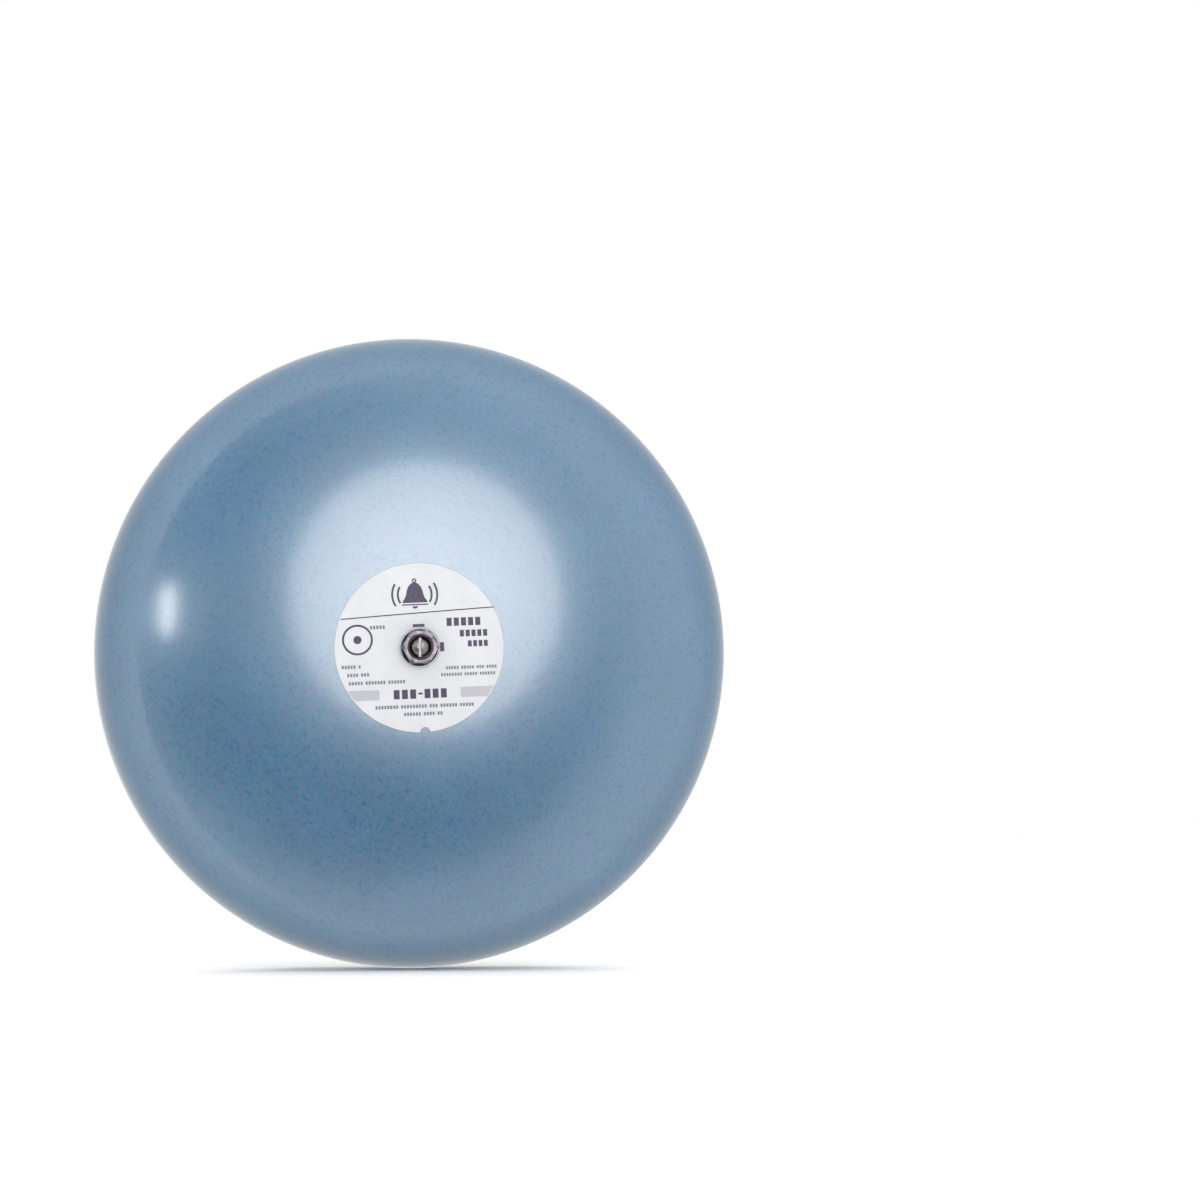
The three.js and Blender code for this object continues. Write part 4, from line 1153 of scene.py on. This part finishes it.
def make_housing():
    drum_inside = DRUM_RADIUS - DRUM_WALL
    shell = square_lathe("housing_shell", [
        (FLANGE_HALF, FLANGE_FRONT_Y, FLANGE_CORE, 0.5), (FLANGE_HALF, LIP_Y, FLANGE_CORE, 0.5),
        (GROOVE_OUTER, LIP_Y, GROOVE_CORE, 0.4), (GROOVE_OUTER, GROOVE_Y, GROOVE_CORE, 0.2),
        (RIB_OUTER, GROOVE_Y, RIB_OUTER_CORE, 0.2), (RIB_OUTER, 0, RIB_OUTER_CORE, 0.45),
        (RIB_INNER, 0, RIB_INNER_CORE, 0.45), (RIB_INNER, FLOOR_Y, RIB_INNER_CORE, 0.6),
        (drum_inside, FLOOR_Y, 0, 0.4), (drum_inside, DRUM_FRONT_Y + DRUM_WALL, 0, 1),
        (0, DRUM_FRONT_Y + DRUM_WALL, 0, 0), (0, DRUM_FRONT_Y, 0, 0),
        (DRUM_RADIUS, DRUM_FRONT_Y, 0, 1.6), (DRUM_RADIUS, FLANGE_FRONT_Y, 0, 0.8),
    ])
    pad = block("pad", (-17, DRUM_FRONT_Y, 40), (17, FLANGE_FRONT_Y + 1, bracket_low.z - GAP), 0.6)
    posts = [rod(3.6, post, DRUM_FRONT_Y + 1, -23.1) for post in FRAME_POSTS]
    board_pad = block("board_pad", (15, DRUM_FRONT_Y + 1, -25), (28, -30.1, -17), 0.4)
    combined(shell, [pad, *posts, board_pad], "UNION")

    front, floor = FLANGE_FRONT_Y - 1, FLOOR_Y + 1
    corner = CORNER_HOLE_PITCH / 2
    cutters = []
    for sx, sz in DIAGONALS:
        cutters.append(slab("cut", [diagonal_slot(sx, sz, 0.05)], front, floor, 0.001, steps=0))
        cutters.append(rod(1.55, (sx * corner, sz * corner), front, floor, segments=24))
    for side in (1, -1):
        screw = (side * PLATE_SCREW[0], side * PLATE_SCREW[1])
        cutters.append(rod(1.8, screw, FLANGE_FRONT_Y + 0.5, floor, segments=24))
        cutters.append(rod(2.2, (side * BRACKET_SCREW_X, BRACKET_SCREW_Y), 36, 51.5, "Z", 24))
    cutters += [rod(1.4, post, -33, -20, segments=16) for post in FRAME_POSTS]
    for turn in range(4):
        cutters.append(spun(block("window", (-4.75, -3.5, 50.55), (4.75, 1.5, 52.05), 0), turn))
    combined(shell, [merged("cutters", cutters)])
    combined(shell, [rod(4.4, (0, STRIKER_Y), -60, -30, "Z", 32)])

    additions = []
    for sx, sz in DIAGONALS:
        start, end = SLOT_PITCH / 2 - 2.4, RIB_INNER - 2
        outline = stadium((sx * start, sz * start), (sx * end, sz * end), 10, 14)
        hole = circle(1.5, sx * corner, sz * corner, 20)
        boss = slab("boss", [outline, diagonal_slot(sx, sz), hole], FLOOR_Y - 0.8, BOSS_Y, 0.35)
        additions.append(boss)
    for turn in range(4):
        tab = block("tab", (-5.75, LIP_Y - 0.5, 52.2), (5.75, -3, 59.7), 0.35)
        additions.append(spun(tab, turn))
    for sx, low_x in ((1, 5.2), (-1, -19.2)):
        for low_z in (RIB_INNER - 2, -RIB_INNER - 1):
            ledge = block("ledge", (low_x, FLOOR_Y - 1, low_z), (low_x + 14, -1.6, low_z + 3), 0.35)
            additions.append(ledge)
        rib_x = sx * (SLOT_PITCH / 2 - 4)
        rib = block("rib", (rib_x - 0.5, FLOOR_Y - 1, -38), (rib_x + 0.5, BOSS_Y, -33.8), 0.2)
        additions.append(rib)
    combined(shell, additions, "UNION")
    piece(shell, "base_housing")

    inner = square(RIB_OUTER + GAP, 4.6)
    outer = square(GROOVE_OUTER - GAP, 5)
    low, high = corners("housing_gasket")
    piece(slab("groove_seal", [outer, inner], low.y, high.y, 0.7, steps=4), "housing_gasket")


make_housing()

# ---- rear plate, its screws and the grommet
PLATE_RADIUS = 49.7
PLATE_FLAT = 46  # distance of each flat from the middle
GROMMET = (35, -1)
LEAD_PITCH = 3.4


def plate_outline(steps=40):
    """A circle cut by two flats, above and below."""
    limit = math.asin(PLATE_FLAT / PLATE_RADIUS)
    outline = []
    for base in (0, PI):
        for i in range(steps + 1):
            angle = base - limit + 2 * limit * i / steps
            outline.append((PLATE_RADIUS * math.cos(angle), PLATE_RADIUS * math.sin(angle)))
    return outline


def make_rear_plate():
    low, high = corners("rear_plate")
    holes = [circle(1.9, side * PLATE_SCREW[0], side * PLATE_SCREW[1], 32) for side in (1, -1)]
    holes.append(circle(5.2, *GROMMET, 48))
    piece(slab("cover_plate", [plate_outline(), *holes], low.y, high.y, 0.22), "rear_plate")

    for name, side in (("upper", 1), ("lower", -1)):
        node = f"plate_screw_{name}"
        tip, head = corners(node)
        x, z = side * PLATE_SCREW[0], side * PLATE_SCREW[1]
        seat = head.y - 1.7
        screw = turned(f"slotted_screw_{name}", [
            (0, tip.y), (1.45, tip.y, 0.3), (1.45, seat), (2.5, seat, 0.15), (2.5, seat + 0.8, 0.4),
            (1.4, head.y, 0.8), (0, head.y),
        ], (x, z), segments=48)
        slot = block("slot", (x - 3, seat + 0.9, z - 0.35), (x + 3, seat + 3, z + 0.35), 0)
        there = Matrix.Translation(Vector((x, 0, z)) * MM)
        slot.data.transform(there @ Matrix.Rotation(0.5 + side, 4, "Y") @ there.inverted())
        piece(combined(screw, [slot]), node)

    grommet_low, grommet_high = corners("lead_grommet")
    front, rear = low.y, high.y
    body = turned("rubber_grommet", [
        (0, grommet_low.y), (6.1, grommet_low.y, 0.8), (6.3, front - GAP, 0.2), (4.9, front - GAP),
        (4.9, rear + GAP), (6.8, rear + GAP, 0.3), (6.8, rear + GAP + 1.1, 0.6),
        (5, grommet_high.y, 1.2), (0, grommet_high.y),
    ], GROMMET, segments=72)
    leads = [(GROMMET[0], GROMMET[1] + side * LEAD_PITCH / 2) for side in (1, -1)]
    bores = [rod(LEAD_RADIUS + GAP, lead, grommet_low.y - 1, 1, segments=32) for lead in leads]
    piece(combined(body, bores), "lead_grommet")


make_rear_plate()

# ---- striker


def striker_piece(name, node, profile, segments=64, steps=4):
    """A piece turned about the striker's axis; its profile is worked out from the node's ends."""
    low, high = corners(node)
    piece(turned(name, profile(low.z, high.z), (0, STRIKER_Y), "Z", segments, steps), node)


def make_striker():
    striker_piece("striker_button", "striker_tip", lambda low, high: [
        (0, low), (1.6, low, 0.9), (3.5, low + 3.2, 1.6), (3.5, high, 0.4), (0, high),
    ], steps=6)
    striker_piece("striker_shaft", "striker_rod", lambda low, high: [
        (0, low), (2, low, 0.3), (2, high, 0.3), (0, high),
    ], 48)
    striker_piece("striker_cap", "striker_head", lambda low, high: [
        (0, low), (4.3, low, 0.3), (4.5, high - 0.3, 0.5), (3.9, high, 0.3), (0, high),
    ])
    flange_z = -DRUM_RADIUS - GAP
    striker_piece("guide_bush", "striker_guide", lambda low, high: [
        (2.25, low, 0.3), (5.5, low, 0.6), (5.5, flange_z, 0.4), (4.1, flange_z), (4.1, high, 0.3),
        (2.25, high, 0.2),
    ])


def make_spring():
    low, high = corners("return_spring")
    wire, mean, turns = 0.35, 3.1, 6
    low_z, high_z = low.z + wire, high.z - wire
    steps = turns * 28
    line = []
    for i in range(steps + 1):
        part = i / steps
        angle = 2 * PI * turns * part
        x, y = mean * math.cos(angle), STRIKER_Y + mean * math.sin(angle)
        line.append((x, y, low_z + (high_z - low_z) * part))
    spring = tube("coil_spring", line, wire, 12)
    piece(spring, "return_spring")
    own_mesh(spring)


make_striker()
make_spring()

# ---- mechanism inside the drum
ROUNDED_NODES = {
    "mechanism_frame": 0.2, "motor_can": 0.4, "motor_end_cap": 0.3, "motor_shaft": 0.15, "drive_cam": 0.3,
    "terminal_board": 0.15, "suppressor": 0.5,
    **{f"frame_screw_{i}": 0.15 for i in range(1, 5)},
    **{f"motor_screw_{i}": 0.12 for i in range(1, 3)},
}
CAD_CREASE = 40  # degrees: sharper edges than this are real ones
CAD_SEAM = 1e-6  # metres: points this close are one point


def softened(node, edge):
    """A CAD node's own shape with its real edges rounded."""
    mesh = frame["nodes"][node].data.copy()
    with edited(mesh) as bm:
        bmesh.ops.remove_doubles(bm, verts=bm.verts, dist=CAD_SEAM)
        bmesh.ops.dissolve_limit(bm, angle_limit=math.radians(1), verts=bm.verts, edges=bm.edges)
        bmesh.ops.recalc_face_normals(bm, faces=bm.faces)
    obj = placed(f"{node}_finished", mesh)
    bevel = obj.modifiers.new("edges", "BEVEL")
    bevel.width = edge * MM
    bevel.segments = 2
    bevel.limit_method = "ANGLE"
    bevel.angle_limit = math.radians(CAD_CREASE)
    return applied(obj)


for node, edge in ROUNDED_NODES.items():
    piece(softened(node, edge), node)

for node, obj in frame["nodes"].items():
    obj.data.materials.clear()
    obj.data.materials.append(FINISHES[slot_of[node]])

# ---- floor, world and lights


FLOOR_HALF = 3.0  # metres
DARK_MIDDLE = Vector((-0.025, -1.0, 0.08))  # where the dark part of the surroundings is centred
# (degrees from there, grey) of the surroundings
SURROUNDINGS = ((100, 0.85), (39, 1.35), (33, 0.02))


def make_floor():
    floor_z = cad_bounds[0][2]
    mesh = bpy.data.meshes.new("floor")
    points = [(x * FLOOR_HALF, y * FLOOR_HALF, floor_z) for x, y in DIAGONALS]
    mesh.from_pydata(points, [], [(0, 1, 2, 3)])
    floor = placed("floor", mesh)
    pale = Finish("pale_floor", 0.8)
    pale.tones(pale.noise(400, 2), (0.95, 0.95, 0.95), (0.97, 0.97, 0.97))
    floor.data.materials.append(pale.material)
    floor.visible_glossy = False


def make_world():
    """White surroundings with a dark part round the camera, for the gong to reflect."""
    world = bpy.data.worlds.new("studio")
    bpy.context.scene.world = world
    world.use_nodes = True
    graph = Graph(world.node_tree)
    place = graph.node("TexCoord").outputs["Generated"]
    dot = graph.node("VectorMath", {0: place, 1: DARK_MIDDLE.normalized()}, operation="DOT_PRODUCT")
    half = graph.node("Math", {0: dot.outputs["Value"], 1: 0.5, 2: 0.5}, operation="MULTIPLY_ADD")
    stops = [((math.cos(math.radians(angle)) + 1) / 2, (grey,) * 3) for angle, grey in SURROUNDINGS]
    background = graph.nodes["Background"]
    background.inputs["Strength"].default_value = 0.9
    graph.link(graph.ramp(half.outputs["Value"], stops), background.inputs["Color"])
    white = graph.node("Background", {"Color": (1, 1, 1)})
    seen = graph.node("LightPath").outputs["Is Camera Ray"]
    both = graph.node("MixShader", {"Fac": seen, 1: background.outputs[0], 2: white.outputs[0]})
    graph.link(both.outputs["Shader"], graph.nodes["World Output"].inputs["Surface"])


def area_light(name, azimuth, elevation, distance, width, height, power):
    """A soft oval light that faces the gong, placed by its direction from the gong."""
    data = bpy.data.lights.new(name, "AREA")
    data.shape = "ELLIPSE"
    data.size = width
    data.size_y = height
    data.energy = power
    light = placed(name, data)
    middle = Vector((0, APEX_Y * MM, GONG_Z * MM))
    light.location = middle + distance * towards(azimuth, elevation)
    aimed(light, middle)
    light.visible_camera = False
    return light


make_floor()
make_world()
area_light("key_softbox", 5, 10.4, 2.0, 1.54, 1.54, 27.5)
area_light("side_strip", -36, 8, 1.6, 0.07, 0.24, 0.8)
floor_light = area_light("overhead", 180, 85, 3.4, 5.5, 5.5, 95)
floor_light.visible_glossy = False
bpy.context.scene.view_settings.view_transform = "Standard"
